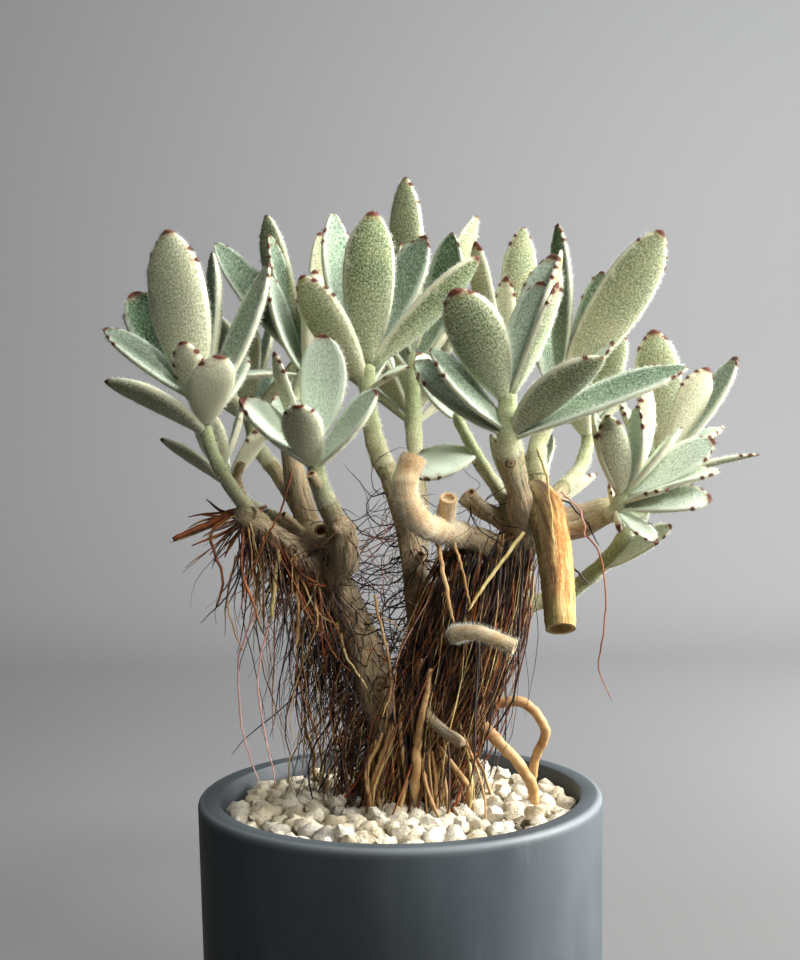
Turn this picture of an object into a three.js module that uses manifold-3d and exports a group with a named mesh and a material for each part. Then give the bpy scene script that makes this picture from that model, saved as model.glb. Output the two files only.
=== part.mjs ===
// A panda plant in a round pot, in millimetres, +Z up.
// The origin is the centre of the pot's foot. X runs to the right of the plant's front view
// and Y runs towards its back.
import * as THREE from 'three';
import { mergeVertices } from 'three/addons/utils/BufferGeometryUtils.js';
import Module from 'manifold-3d';

const wasm = await Module();
wasm.setup();

// Driving dimensions of the pot and what fills it
const potRadius = 75;
const potHeight = 140;
const potWall = 8;
const potFloor = 12;
const rimEdge = 2;
const footTaper = 1.5;
const drainRadius = 4.5;
const drainCircle = 22;
const drainSides = 12;
const soilTop = 122;
const gravelTop = 133.5;
const stonesRound = 17;
const stoneRings = 5;
const stoneHeight = 3.4;
const stoneHeightRange = 2.4;
const stoneShake = 1.1;
const fit = 0.3;
const roundSides = 36;

// Driving dimensions of the plant
const crownCentre = [5, 11];
const crownRadius = 11;
const crownFootRadius = 7.7;
const crownFoot = 98;
const crownTop = 134;
const crownSides = 8;
const rootHole = 17.8;
const leafThickness = 0.25;
const thinnestLeaf = 2.2;
const leafBow = 24;
const largeLeaf = 46;
const tinyLeaf = 23;
const goldenAngle = 137.5;
const stemSides = 5;
const strandSides = 3;

// The bare wood: each stem or stub is a path, its radii from start to end, and its sides
const wood = [
  { path: [[2, 10, 128], [-3, 6, 158], [-10, 0, 186], [-19, -6, 213], [-27, -10, 230], [-32, -10, 240]],
    radius: [8.4, 6.6], sides: 7, steps: 5 },
  { path: [[5, 12, 128], [10, 10, 172], [9, 8, 203], [5, 4, 234], [0, 0, 253]],
    radius: [7.2, 4.4], sides: 6, steps: 4 },
  { path: [[10, 14, 128], [19, 12, 164], [29, 8, 195], [40, 2, 222], [49, -5, 241]],
    radius: [8.4, 6.8], sides: 7, steps: 4 },
  { path: [[42, 2, 224], [31, -8, 234], [20, -17, 238]], radius: [5.5, 4.5], sides: 6, steps: 2 },
  { path: [[24, -13, 237], [17, -24, 240], [10, -34, 243], [5, -39, 250], [4, -40, 259], [7, -38, 267]],
    radius: [4.6, 4.4], sides: 6, steps: 4 },
  { path: [[21, -15, 236], [18, -22, 241], [19, -30, 252]], radius: [3.6, 3.2], sides: 6, steps: 2 },
  { path: [[47, -4, 236], [38, -6, 242], [31, -10, 246], [25, -12, 251]],
    radius: [4, 3.2], sides: 5, steps: 2 },
  { path: [[29, 6, 196], [17, -16, 202], [15, -27, 204], [25, -33, 205], [41, -38, 200]],
    radius: [3, 2.7], sides: 5, steps: 4 },
  { path: [[-27, -9, 222], [-38, -15, 233], [-46, -19, 240], [-53, -22, 245]],
    radius: [5, 4], sides: 6, steps: 2 },
  { path: [[10, 0, 173], [11, -14, 171], [17, -19, 166], [23, -24, 163]],
    radius: [2.5, 2.2], sides: 5, steps: 2 },
  { path: [[-21, -14, 226], [-18, -22, 230], [-18, -30, 243]], radius: [5, 4.4], sides: 6, steps: 2 },
  { path: [[-50, -19, 246], [-58, -18, 247], [-68, -20, 243], [-79, -22, 238]],
    radius: [1.8, 0.9], sides: 4, steps: 3 },
];

// The thick cut branch that hangs at the front right, with its hollow end
const cutBranch = { path: [[50, -5, 250], [54, -12, 246], [56, -20, 236], [57, -28, 221], [57, -37, 206]],
  radius: [7.2, 5.4], sides: 8, steps: 4 };
const cutBranchPith = { path: [[57, -32, 214.5], [57, -37.5, 205]], radius: [3.2, 3.2], sides: 6, steps: 1 };

// Tan prop roots that arch from the stems down into the gravel
const propRoots = [
  { path: [[12, -16, 189], [8, -16, 167], [6, -12, 141], [6, -6, 128]], radius: [0.8, 2.3] },
  { path: [[0, 4, 172], [-3, -9, 160], [-9, -9, 147], [-14, -6, 130]], radius: [1.8, 1.5] },
  { path: [[20, 8, 172], [34, -6, 163], [44, -8, 152], [49, -5, 142], [49, -2, 129]], radius: [2.4, 2] },
  { path: [[24, 8, 163], [38, 6, 171], [47, 6, 171], [55, 11, 160], [52, 17, 148], [49, 21, 130]],
    radius: [2.1, 1.7] },
];

// Long bare aerial roots that hang free from the right branch
const freeRoots = [
  { path: [[68, -5, 238], [74, -9, 229], [75, -10, 203], [73, -10, 188], [78, -10, 175]],
    radius: [0.9, 0.7] },
];

// The leafy shoots. path runs from inside the wood to the growing tip, and the first part of
// it, up to bare, is wood. A leaf row is [millimetres below the growing tip where the leaf
// starts, then the leaf's tip to the right, to the back and up from the growing tip, its
// width, and the angle by which its upper side is turned from the front]. Without that angle
// the upper side faces the stem. whorl adds leaves round the stem at the golden angle.
const shoots = [
  { name: 'far_left_shoot', radius: [3.6, 2.2], bare: 0.42,
    path: [[-30, -11, 226], [-44, -17, 239], [-52, -21, 248], [-59, -26, 259], [-64, -30, 271],
      [-67, -32, 290]],
    leaves: [
      [14, -31, -12, 5, 15, 120], [3, -33, 0, 23, 14, 60], [2, -25, 14, 36, 20, 25],
      [3, -10, -1, 57, 21, 178], [6, -4, -13, 18, 11, 178], [2, 4, 14, 50, 15, 70],
      [6, 25, 4, 45, 16, 50], [11, 9, -14, 13, 16, 150], [10, 12, 30, 14, 15], [8, -14, 26, 32, 14],
    ] },
  { name: 'front_left_shoot', radius: [5, 2.7], bare: 0.62,
    path: [[-25, -9, 222], [-19, -17, 231], [-21, -26, 244], [-26, -36, 258], [-28, -42, 274]],
    leaves: [
      [10, -3, -24, 12, 14, 180], [4, -12, -5, 30, 10, 120], [3, 4, 10, 36, 17, 25],
      [10, -24, -6, 14, 16, 65], [10, 23, -6, 16, 15, 68], [8, -12, 22, 16, 13],
    ] },
  { name: 'centre_shoot', radius: [4.6, 2.6], bare: 0.34,
    path: [[3, 2, 244], [-1, -1, 256], [-6, -4, 268], [-9, -6, 283], [-9, -8, 301]],
    leaves: [
      [2, 3, -5, 53, 19, 178], [8, -23, -10, 30, 16, 150], [2, -12, 12, 54, 17, 45],
      [2, 22, 9, 45, 17, 35], [3, 41, -4, 36, 17, 125], [11, 15, -8, -3, 10, 80], [10, 8, 24, 22, 14],
    ] },
  { name: 'back_tall_shoot', radius: [4.2, 2.4], bare: 0.5,
    path: [[8, 10, 215], [8, 24, 240], [8, 38, 270], [8, 44, 305]],
    leaves: [
      [2, -2, 4, 68, 15, 150], [6, 16, -6, 45, 15, 35], [4, 27, 13, 53, 14, 120], [2, -4, -5, 42, 9, 60],
      [8, 0, 26, 40, 15], [10, -22, 8, 24, 14], [10, 22, 6, 20, 14],
    ] },
  { name: 'back_left_shoot', radius: [5.2, 2.6], bare: 0.52,
    path: [[-29, -7, 230], [-35, 2, 250], [-38, 10, 264], [-38, 22, 281], [-35, 36, 296], [-33, 42, 308]],
    leaves: [
      [3, -16, 5, 51, 14, 150], [6, 6, -6, 43, 14, 120], [4, -14, -10, 42, 12, 60], [8, -36, 2, 40, 15, 40],
      [12, -14, -16, 26, 14, 60], [10, 4, -14, 28, 12, 130], [14, -32, -14, -14, 10, 80],
      [12, 20, 10, 12, 14], [10, -6, 26, 24, 15],
    ] },
  { name: 'centre_right_shoot', radius: [5.2, 3.3], bare: 0.6,
    path: [[47, -7, 238], [44, -18, 253], [40, -27, 266], [40, -30, 277], [40, -31, 290]],
    leaves: [
      [4, -19, -15, 34, 20, 172], [3, -11, 3, 34, 16, 30], [3, 17, -11, 36, 12, 115],
      [2, 13, 3, 37, 16, 35], [3, 18, 12, 47, 16, 40], [2, 20, 5, 48, 14, 110],
      [17, 31, -21, 10, 16, 150], [14, -27, -6, 14, 15, 60], [16, -32, 5, 10, 14, 40],
      [18, 63, -1, 6, 16, 60],
    ] },
  { name: 'right_back_shoot', radius: [4.4, 2.6], bare: 0.36,
    path: [[50, 1, 236], [54, 10, 255], [54, 14, 268], [60, 17, 280], [64, 18, 294]],
    leaves: [
      [3, 37, -10, 53, 20, 172], [3, 0, 10, 58, 15, 60], [2, 16, 2, 39, 13, 40], [10, 35, 6, 32, 15, 120],
      [6, 19, -8, 12, 8, 60], [12, 9, -7, -12, 13, 30], [10, 0, 32, 20, 15],
    ] },
  { name: 'back_right_shoot', radius: [4, 2.4], bare: 0.5,
    path: [[46, 6, 232], [48, 24, 252], [46, 40, 276], [45, 50, 300]],
    leaves: [
      [3, 7, -6, 52, 15, 172], [4, -12, -6, 47, 14, 120], [2, 0, -9, 33, 9, 160],
      [8, 22, 12, 26, 15], [8, -10, 26, 22, 15], [8, 12, 26, 24, 14],
    ] },
  { name: 'far_right_shoot', radius: [4, 2.3], bare: 0.5,
    path: [[52, 3, 239], [74, 14, 243], [94, 24, 248], [106, 30, 264]],
    leaves: [
      [3, -6, -4, 47, 18, 172], [4, 15, -4, 32, 15, 150], [5, 28, 6, 36, 14, 60],
      [8, 4, 26, 22, 14], [8, 24, 16, 8, 14], [10, -16, 20, 20, 14],
    ] },
  { name: 'right_shoot', radius: [4.2, 2.5], bare: 0.68,
    path: [[49, -1, 237], [66, -4, 237], [74, -10, 241], [80, -15, 246], [83, -17, 256]],
    leaves: [
      [5, -12, -3, 25, 13, 60], [6, -8, -11, 24, 11, 176], [3, 4, -5, 27, 12, 60], [3, 10, 8, 34, 13, 140],
      [5, 19, -7, 19, 12, 95], [5, 32, 0, 14, 13, 40], [6, 50, 8, 8, 9, 100], [8, 33, -5, 3, 12, 75],
      [11, 30, -5, -7, 14, 55], [9, 14, -9, -3, 7, 90], [12, 10, -6, -22, 8, 40], [12, -3, -4, -18, 6, 70],
    ] },
  { name: 'thin_shoot', radius: [2.6, 1.9], bare: 0.3,
    path: [[46, -4, 238], [35, -10, 257], [27, -14, 271], [22, -16, 281]],
    leaves: [
      [2, -13, 3, 22, 13, 40], [17, -16, -3, -22, 16, 45], [4, 8, 10, 20, 10, 40],
    ] },
  { name: 'low_right_shoot', radius: [4, 2.6], bare: 0.3,
    path: [[30, 8, 198], [51, 18, 207], [62, 16, 210], [73, 12, 218], [82, 8, 228], [88, 6, 238]],
    leaves: [
      [22, 14, -8, 0, 10, 60], [16, 10, 16, -6, 10], [4, 8, 4, 12, 9], [2, -8, 3, 15, 9],
    ] },
  { name: 'rear_left_shoot', radius: [3.8, 2.4], bare: 0.5,
    path: [[-33, 4, 242], [-44, 30, 256], [-56, 54, 270], [-60, 64, 288]],
    whorl: { count: 7, start: 85, length: 46, width: 16 } },
  { name: 'rear_shoot', radius: [4, 2.4], bare: 0.5,
    path: [[8, 14, 222], [10, 44, 244], [8, 72, 264], [6, 86, 286]],
    whorl: { count: 8, start: 20, length: 48, width: 16 } },
  { name: 'rear_right_shoot', radius: [4, 2.4], bare: 0.5,
    path: [[50, 4, 230], [62, 34, 246], [76, 60, 258], [82, 70, 280]],
    whorl: { count: 7, start: 100, length: 46, width: 16 } },
  { name: 'left_low_shoot', radius: [3.3, 2.1], bare: 0.4,
    path: [[-31, -3, 236], [-46, 10, 242], [-60, 22, 250], [-68, 28, 266]],
    whorl: { count: 6, start: 200, length: 27, width: 12 } },
  { name: 'low_rear_shoot', radius: [3.6, 2.3], bare: 0.5,
    path: [[30, 12, 204], [44, 40, 214], [52, 64, 226], [54, 74, 244]],
    whorl: { count: 6, start: 0, length: 36, width: 14 } },
];

// Colours, roughness and metalness of each kind of material
const finishes = {
  pot: new THREE.MeshStandardMaterial({ color: 0x44484e, roughness: 0.75, metalness: 0 }),
  soil: new THREE.MeshStandardMaterial({ color: 0x3a2c20, roughness: 1, metalness: 0 }),
  gravel: new THREE.MeshStandardMaterial({ color: 0xd9d1bd, roughness: 0.9, metalness: 0 }),
  wood: new THREE.MeshStandardMaterial({ color: 0x9c8464, roughness: 0.85, metalness: 0 }),
  leaf: new THREE.MeshStandardMaterial({ color: 0x8fa381, roughness: 0.9, metalness: 0 }),
};

// A seeded source of even random numbers from 0 to 1
function dice(seed) {
  let state = seed;
  return () => {
    state = (state + 0x6d2b79f5) | 0;
    let t = Math.imul(state ^ (state >>> 15), 1 | state);
    t = (t + Math.imul(t ^ (t >>> 7), 61 | t)) ^ t;
    return ((t ^ (t >>> 14)) >>> 0) / 4294967296;
  };
}

const vector = (point) => new THREE.Vector3(...point);
const radians = THREE.MathUtils.degToRad;

// A closed three.js geometry as a solid that can be joined and cut
function solid(geometry) {
  const plain = geometry.index ? geometry.toNonIndexed() : geometry.clone();
  plain.deleteAttribute('normal');
  plain.deleteAttribute('uv');
  const merged = mergeVertices(plain, 1e-4);
  return new wasm.Manifold(new wasm.Mesh({
    numProp: 3,
    vertProperties: new Float32Array(merged.attributes.position.array),
    triVerts: new Uint32Array(merged.index.array),
  }));
}

function geometryOf(body) {
  const mesh = body.getMesh();
  const geometry = new THREE.BufferGeometry();
  geometry.setAttribute('position', new THREE.BufferAttribute(mesh.vertProperties, 3));
  geometry.setIndex(new THREE.BufferAttribute(mesh.triVerts, 1));
  return geometry;
}

const join = (bodies) => bodies.reduce((sum, body) => sum.add(body));

// The largest body of a cut solid, without loose scraps
function largest(body) {
  const pieces = body.decompose();
  return pieces.reduce((best, piece) => (piece.volume() > best.volume() ? piece : best));
}

// A round stem along a smooth path, with an even change of radius
function stem(path, radius, sides, steps, from = 0, to = 1, grow = 0) {
  const curve = new THREE.CatmullRomCurve3(path.map(vector));
  const geometry = new THREE.CylinderGeometry(1, 1, 1, sides, steps);
  const place = geometry.attributes.position;
  const point = new THREE.Vector3();
  const side = new THREE.Vector3();
  const across = new THREE.Vector3();
  for (let i = 0; i < place.count; i += 1) {
    const t = from + (to - from) * (0.5 - place.getY(i));
    const along = curve.getTangentAt(t);
    side.set(0, 1, 0).cross(along);
    if (side.lengthSq() < 0.05) side.set(1, 0, 0).cross(along);
    side.normalize();
    across.copy(along).cross(side);
    const r = radius[0] + (radius[1] - radius[0]) * t + grow;
    curve.getPointAt(t, point);
    point.addScaledVector(side, -r * place.getX(i));
    point.addScaledVector(across, -r * place.getZ(i));
    place.setXYZ(i, point.x, point.y, point.z);
  }
  return solid(geometry);
}

// One leaf: a thick boat-shaped blade whose rim is lifted, with small blunt teeth near its tip.
// Upright leaves curve in towards the stem, and spreading ones arch over.
// Stations give the place along the leaf, its half width on each side and its thickness.
const largeStations = [
  [0.05, 0.28, 0.28, 0.62], [0.3, 0.8, 0.8, 0.94], [0.6, 1.02, 0.98, 1], [0.82, 0.8, 0.86, 0.8],
  [0.94, 0.46, 0.4, 0.5],
];
const smallStations = [
  [0.05, 0.34, 0.34, 0.64], [0.36, 0.88, 0.88, 0.95], [0.66, 0.98, 1, 1], [0.9, 0.56, 0.6, 0.6],
];
const tinyStations = [[0.06, 0.4, 0.4, 0.7], [0.5, 1, 1, 1], [0.88, 0.64, 0.58, 0.6]];
// The five corners of a leaf's section: across and up, in half widths and thicknesses
const leafSection = [[1, 0.42], [0, 0.3], [-1, 0.42], [-0.52, -0.5], [0.52, -0.5]];

function leaf(start, tip, width, face, axis) {
  const chord = tip.clone().sub(start);
  const length = chord.length();
  const along = chord.clone().normalize();
  const up = new THREE.Vector3();
  if (face === undefined) {
    up.copy(axis).addScaledVector(along, -axis.dot(along)).normalize();
  } else {
    const front = new THREE.Vector3(0, -1, 0);
    front.addScaledVector(along, -front.dot(along)).normalize();
    const inner = front.clone().cross(along).multiplyScalar(along.x < 0 ? -1 : 1);
    up.copy(front).multiplyScalar(Math.cos(radians(face)));
    up.addScaledVector(inner, Math.sin(radians(face)));
  }
  const across = along.clone().cross(up);
  let stations = length > largeLeaf ? largeStations : smallStations;
  if (length < tinyLeaf) stations = tinyStations;
  const rings = stations.length + 1;
  const geometry = new THREE.SphereGeometry(1, leafSection.length, rings);
  const place = geometry.attributes.position;
  const columns = leafSection.length + 1;
  const point = new THREE.Vector3();
  const sag = Math.tan(radians(leafBow) / 4) / 2 * length * (2 * along.z * along.z - 1);
  const thickness = Math.max(leafThickness * width, thinnestLeaf);
  for (let i = 0; i < place.count; i += 1) {
    const ring = Math.floor(i / columns);
    const corner = leafSection[(i % columns) % leafSection.length];
    let s = ring / rings;
    let wide = 0;
    let thick = 0;
    if (ring > 0 && ring < rings) {
      const [at, left, right, depth] = stations[ring - 1];
      s = at;
      wide = corner[0] > 0 ? right : left;
      thick = depth;
    }
    point.copy(start).addScaledVector(along, s * length);
    point.addScaledVector(across, corner[0] * wide * width / 2);
    point.addScaledVector(up, corner[1] * thick * thickness - 4 * s * (1 - s) * sag);
    place.setXYZ(i, point.x, point.y, point.z);
  }
  return solid(geometry);
}

// Leaves round a stem at the golden angle. From the lowest leaf to the top one they lean out
// less and less, and both their length and their width shrink near the top.
const whorlBelow = { lowest: 14, top: 2 };
const whorlLean = { lowest: 74, top: 18 };
const whorlShrink = 0.3;

function whorlRows({ count, start, length, width }) {
  const rows = [];
  for (let k = 0; k < count; k += 1) {
    const rise = k / (count - 1);
    const turn = radians(start + k * goldenAngle);
    const lean = radians(whorlLean.lowest + (whorlLean.top - whorlLean.lowest) * rise);
    const reach = length * (0.86 + 0.3 * rise - 0.42 * rise * rise);
    rows.push([
      whorlBelow.lowest + (whorlBelow.top - whorlBelow.lowest) * rise,
      reach * Math.sin(lean) * Math.cos(turn),
      reach * Math.sin(lean) * Math.sin(turn),
      reach * Math.cos(lean),
      width * (1 - whorlShrink * rise * rise),
    ]);
  }
  return rows;
}

// The leaves of a shoot. Each starts in the side of the stem, this share of its radius out.
const leafSeat = 0.7;

function shootLeaves(shoot) {
  const curve = new THREE.CatmullRomCurve3(shoot.path.map(vector));
  const total = curve.getLength();
  const top = curve.getPointAt(1);
  const axis = curve.getTangentAt(1).clone().lerp(new THREE.Vector3(0, 0, 1), 0.5).normalize();
  const rows = (shoot.leaves ?? []).concat(shoot.whorl ? whorlRows(shoot.whorl) : []);
  return rows.map(([below, right, back, rise, width, face]) => {
    const start = curve.getPointAt(1 - below / total);
    const tip = top.clone().add(new THREE.Vector3(right, back, rise));
    const outward = tip.clone().sub(start).setZ(0).normalize();
    start.addScaledVector(outward, leafSeat * shoot.radius[1]);
    return leaf(start, tip, width, face, axis);
  });
}

function shootStem(shoot) {
  const length = new THREE.CatmullRomCurve3(shoot.path.map(vector)).getLength();
  return stem(shoot.path, shoot.radius, stemSides, 3, shoot.bare + fit / length, 1);
}

function shootBody(shoot) {
  return join([shootStem(shoot), ...shootLeaves(shoot)]);
}

// All the wood in one body. grow thickens it, which cuts its seats in what lies round it.
function woodBody(grow) {
  const stems = wood.map((part) => stem(part.path, part.radius, part.sides, part.steps, 0, 1, grow));
  const bare = shoots.map((shoot) => stem(shoot.path, shoot.radius, stemSides, 2, 0, shoot.bare, grow));
  const props = propRoots.map((root) => stem(root.path, root.radius, 4, 5, 0, 1, grow));
  const free = freeRoots.map((root) => stem(root.path, root.radius, 3, 4, 0, 1, grow));
  const crown = new THREE.CylinderGeometry(
    crownRadius + grow, crownFootRadius + grow, crownTop - crownFoot + 2 * grow, crownSides);
  crown.rotateX(Math.PI / 2);
  crown.translate(crownCentre[0], crownCentre[1], (crownTop + crownFoot) / 2);
  const cut = stem(cutBranch.path, cutBranch.radius, cutBranch.sides, cutBranch.steps, 0, 1, grow);
  return join([solid(crown), cut, ...stems, ...bare, ...props, ...free]);
}

// A body turned round the Z axis from its outline, given as radius and height
function turned(outline) {
  const geometry = new THREE.LatheGeometry(outline.map(([r, z]) => new THREE.Vector2(r, z)), roundSides);
  geometry.rotateX(Math.PI / 2);
  return solid(geometry);
}

function potBody() {
  const inner = potRadius - potWall;
  const shell = turned([
    [0, 0], [potRadius - footTaper, 0], [potRadius, potHeight - rimEdge],
    [potRadius - rimEdge, potHeight], [inner, potHeight], [inner, potFloor], [0, potFloor],
  ]);
  const drains = [0, 1, 2].map((k) => {
    const turn = radians(90 + 120 * k);
    const geometry = new THREE.CylinderGeometry(drainRadius, drainRadius, 2 * potFloor, drainSides);
    geometry.rotateX(Math.PI / 2);
    geometry.translate(drainCircle * Math.cos(turn), drainCircle * Math.sin(turn), potFloor / 2);
    return solid(geometry);
  });
  return shell.subtract(join(drains));
}

function soilBody(cutter) {
  const radius = potRadius - potWall - fit;
  const low = potFloor + fit;
  return turned([[0, low], [radius, low], [radius, soilTop], [0, soilTop]]).subtract(cutter);
}

// Pumice stones as relief on a bed round the roots: rings of stones, each a block of three by
// three facets whose inner corners are raised and shaken. The rings follow the pot's wall on
// the outside and the root crown on the inside.
function gravelBody(cutter) {
  const random = dice(7);
  const radius = potRadius - potWall - fit;
  const inner = rootHole + fit;
  const low = soilTop + fit;
  const steps = 3 * stoneRings;
  const outline = [[inner, low], [radius, low]];
  for (let k = 0; k <= steps; k += 1) outline.push([radius - (radius - inner) * k / steps, gravelTop]);
  outline.push([inner, low]);
  const segments = 3 * stonesRound;
  const geometry = new THREE.LatheGeometry(outline.map(([r, z]) => new THREE.Vector2(r, z)), segments);
  geometry.rotateX(Math.PI / 2);
  const place = geometry.attributes.position;
  const rows = outline.length;
  const heights = Array.from(
    { length: stonesRound * stoneRings }, () => stoneHeight + stoneHeightRange * random());
  for (let i = 0; i < place.count; i += 1) {
    const inward = (radius - Math.hypot(place.getX(i), place.getY(i))) / (radius - inner);
    place.setX(i, place.getX(i) + crownCentre[0] * inward);
    place.setY(i, place.getY(i) + crownCentre[1] * inward);
  }
  for (let i = 0; i < segments; i += 1) {
    for (let k = 1; k < steps; k += 1) {
      const ring = Math.floor(k / 3);
      const column = (i + ring * 2) % segments;
      const raised = column % 3 > 0 && k % 3 > 0;
      const rise = raised ? heights[ring * stonesRound + Math.floor(column / 3)] : 0.6 * random();
      const index = i * rows + 2 + k;
      const x = place.getX(index) + (random() - 0.5) * stoneShake;
      const y = place.getY(index) + (random() - 0.5) * stoneShake;
      const z = gravelTop + rise + (raised ? (random() - 0.5) * stoneShake : 0);
      place.setXYZ(index, x, y, z);
      if (i === 0) place.setXYZ(segments * rows + 2 + k, x, y, z);
    }
  }
  return largest(solid(geometry).subtract(cutter));
}

// A thin root: a three-sided spindle that hangs along a path, whose middle is shaken sideways
// by half of sway at most
function strand(path, radius, sway, pieces, random) {
  const last = path.length - 1;
  const points = path.map((point, n) => point.map((value, k) => (
    value + (n > 0 && n < last && k < 2 ? (random() - 0.5) * sway : 0))));
  const curve = new THREE.CatmullRomCurve3(points.map(vector));
  const geometry = new THREE.SphereGeometry(1, strandSides, pieces);
  const place = geometry.attributes.position;
  for (let i = 0; i < place.count; i += 1) {
    const ring = Math.floor(i / (strandSides + 1));
    const turn = (i % (strandSides + 1)) % strandSides * 2 * Math.PI / strandSides;
    const point = curve.getPoint(ring / pieces);
    const r = ring === 0 || ring === pieces ? 0 : radius;
    place.setXYZ(i, point.x + r * Math.cos(turn), point.y + r * Math.sin(turn), point.z);
  }
  return solid(geometry);
}

// The matted heart of the root column: rings that give its height, centre and half widths
const columnRings = [
  [122.4, 5, 11, 16.8, 16.8], [141, 6, 10, 16.8, 15.5], [164, 15, 5, 15, 12], [194, 26, 0, 15, 9],
  [232, 33, -3, 10, 6],
];

// A point of the column at a height, turned round its middle line and spread from it in shares
// of the half widths
function ringPoint(z, turn, spread) {
  let k = 0;
  while (k < columnRings.length - 2 && z > columnRings[k + 1][0]) k += 1;
  const share = (z - columnRings[k][0]) / (columnRings[k + 1][0] - columnRings[k][0]);
  const [, x, y, wide, deep] = columnRings[k].map(
    (value, n) => value + (columnRings[k + 1][n] - value) * share);
  return [x + spread * wide * Math.cos(turn), y + spread * deep * Math.sin(turn), z];
}

function columnHeart() {
  const steps = columnRings.length - 1;
  const geometry = new THREE.CylinderGeometry(1, 1, 1, crownSides, steps);
  const place = geometry.attributes.position;
  for (let i = 0; i < place.count; i += 1) {
    const [z, x, y, wide, deep] = columnRings[Math.round((place.getY(i) + 0.5) * steps)];
    place.setXYZ(i, x + wide * place.getX(i), y - deep * place.getZ(i), z);
  }
  return solid(geometry);
}

// The thin roots of the column that the plant stands on: each starts in its heart, bellies
// out and comes back towards it lower down
const columnStrands = {
  count: 34, radius: 1, sway: 6, highest: 232, highRange: 34, lowest: 142, lowRange: 26,
};

function columnRoots() {
  const random = dice(11);
  const { count, radius, sway, highest, highRange, lowest, lowRange } = columnStrands;
  return Array.from({ length: count }, (_, k) => {
    const turn = 2 * Math.PI * (k + random()) / count;
    const high = highest - highRange * random();
    const low = lowest + lowRange * random() * random();
    const drift = (random() - 0.5) * 0.9;
    const belly = high - 0.4 * (high - low);
    return strand([
      ringPoint(high, turn, 0.8),
      ringPoint(belly, turn + drift / 2, 1.35 + 0.45 * random()),
      ringPoint(low, turn + drift, 1.15 + 0.35 * random()),
    ], radius, sway, 4, random);
  });
}

// Threads that cross from the left stem down to the column
const slantingStrands = { count: 8, radius: 0.8, sway: 6 };

function slantingRoots() {
  const random = dice(23);
  return Array.from({ length: slantingStrands.count }, () => {
    const start = [-13 - 5 * random(), -8 + 8 * random(), 182 + 38 * random()];
    const end = ringPoint(156 + 44 * random(), Math.PI + (random() - 0.5) * 0.8, 0.8);
    const middle = start.map((value, n) => (value + end[n]) / 2);
    return strand([start, middle, end], slantingStrands.radius, slantingStrands.sway, 3, random);
  });
}

// The curtain of thin roots under the left branch and the left stem, which sweep in towards
// the root crown as they come down. Each ninth one is long.
const leftRootLine = [
  [-55, -23, 249], [-45, -18, 238], [-34, -11, 226], [-24, -8, 212], [-16, -3, 194], [-8, 2, 172],
];
const leftStrands = { count: 31, radius: 0.9, sway: 9, long: 92, short: 30, shortRange: 36, lowest: 143 };

function leftRoots() {
  const random = dice(5);
  const { count, radius, sway, long, short, shortRange, lowest } = leftStrands;
  const curve = new THREE.CatmullRomCurve3(leftRootLine.map(vector));
  return Array.from({ length: count }, (_, k) => {
    const share = (k + random()) / count;
    const at = curve.getPointAt(share);
    const reach = k % 9 === 4 ? long : short + shortRange * random();
    const sweep = -10 + 12 * share + (random() - 0.5) * 18;
    const end = [at.x + sweep, at.y + (random() - 0.5) * 30, Math.max(at.z - reach, lowest)];
    const middle = [at.x + 0.4 * sweep, (at.y + end[1]) / 2, at.z - 0.45 * (at.z - end[2])];
    return strand([at.toArray(), middle, end], radius, sway, 4, random);
  });
}

// The trunk with its branches, its stubs and all its roots, which grew as one
function trunkBody() {
  const { path, radius, sides, steps } = cutBranchPith;
  const strands = [...columnRoots(), ...slantingRoots(), ...leftRoots()];
  return largest(join([woodBody(0), columnHeart(), ...strands]).subtract(stem(path, radius, sides, steps)));
}

// The scene graph: one named mesh for each piece
const plant = new THREE.Group();
const cutter = woodBody(fit);

function place(name, body, finish) {
  const mesh = new THREE.Mesh(geometryOf(body), finishes[finish].clone());
  mesh.name = name;
  plant.add(mesh);
}

place('pot', potBody(), 'pot');
place('soil', soilBody(cutter), 'soil');
place('gravel', gravelBody(cutter), 'gravel');
place('trunk', trunkBody(), 'wood');
shoots.forEach((shoot) => place(shoot.name, shootBody(shoot), 'leaf'));

export default plant;
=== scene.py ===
# %% [markdown]
# # A panda plant in a round pot
# The plant is a woolly-leaved succulent that stands on its own aerial roots. Its solids come
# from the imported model, which gives each piece its place. This script dresses them: the pot
# gets its cast surface, the gravel its stones, the wood its bark, the roots their threads,
# and each leaf its curved blade, its dark teeth and its wool.
# Everything below is in metres. Tables that follow the plant's growth are in millimetres,
# because that is how a grower would measure it, and `mm` turns them into metres.

import math

import bpy
import numpy as np
from mathutils import Matrix, Vector, kdtree, noise


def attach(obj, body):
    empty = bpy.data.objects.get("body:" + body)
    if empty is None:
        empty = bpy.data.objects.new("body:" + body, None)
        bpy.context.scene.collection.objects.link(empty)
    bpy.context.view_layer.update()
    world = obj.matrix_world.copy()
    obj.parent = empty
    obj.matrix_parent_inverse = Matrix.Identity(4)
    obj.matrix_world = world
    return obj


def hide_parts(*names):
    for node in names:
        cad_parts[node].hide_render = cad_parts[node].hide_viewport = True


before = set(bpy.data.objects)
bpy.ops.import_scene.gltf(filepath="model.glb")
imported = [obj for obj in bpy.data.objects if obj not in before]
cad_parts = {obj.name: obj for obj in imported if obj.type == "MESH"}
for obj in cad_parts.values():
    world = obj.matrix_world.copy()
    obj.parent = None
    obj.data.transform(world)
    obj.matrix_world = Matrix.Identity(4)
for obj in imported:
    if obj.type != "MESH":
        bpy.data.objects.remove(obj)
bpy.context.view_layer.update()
mm = 0.001


# %% [markdown]
# ## Camera
# The photograph looks at the plant almost level, from a little above the rim of the pot,
# with a long lens. The camera's place, its pitch and its slight roll were worked out from
# the ellipses of the rim and from the upright sides of the pot.

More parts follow.
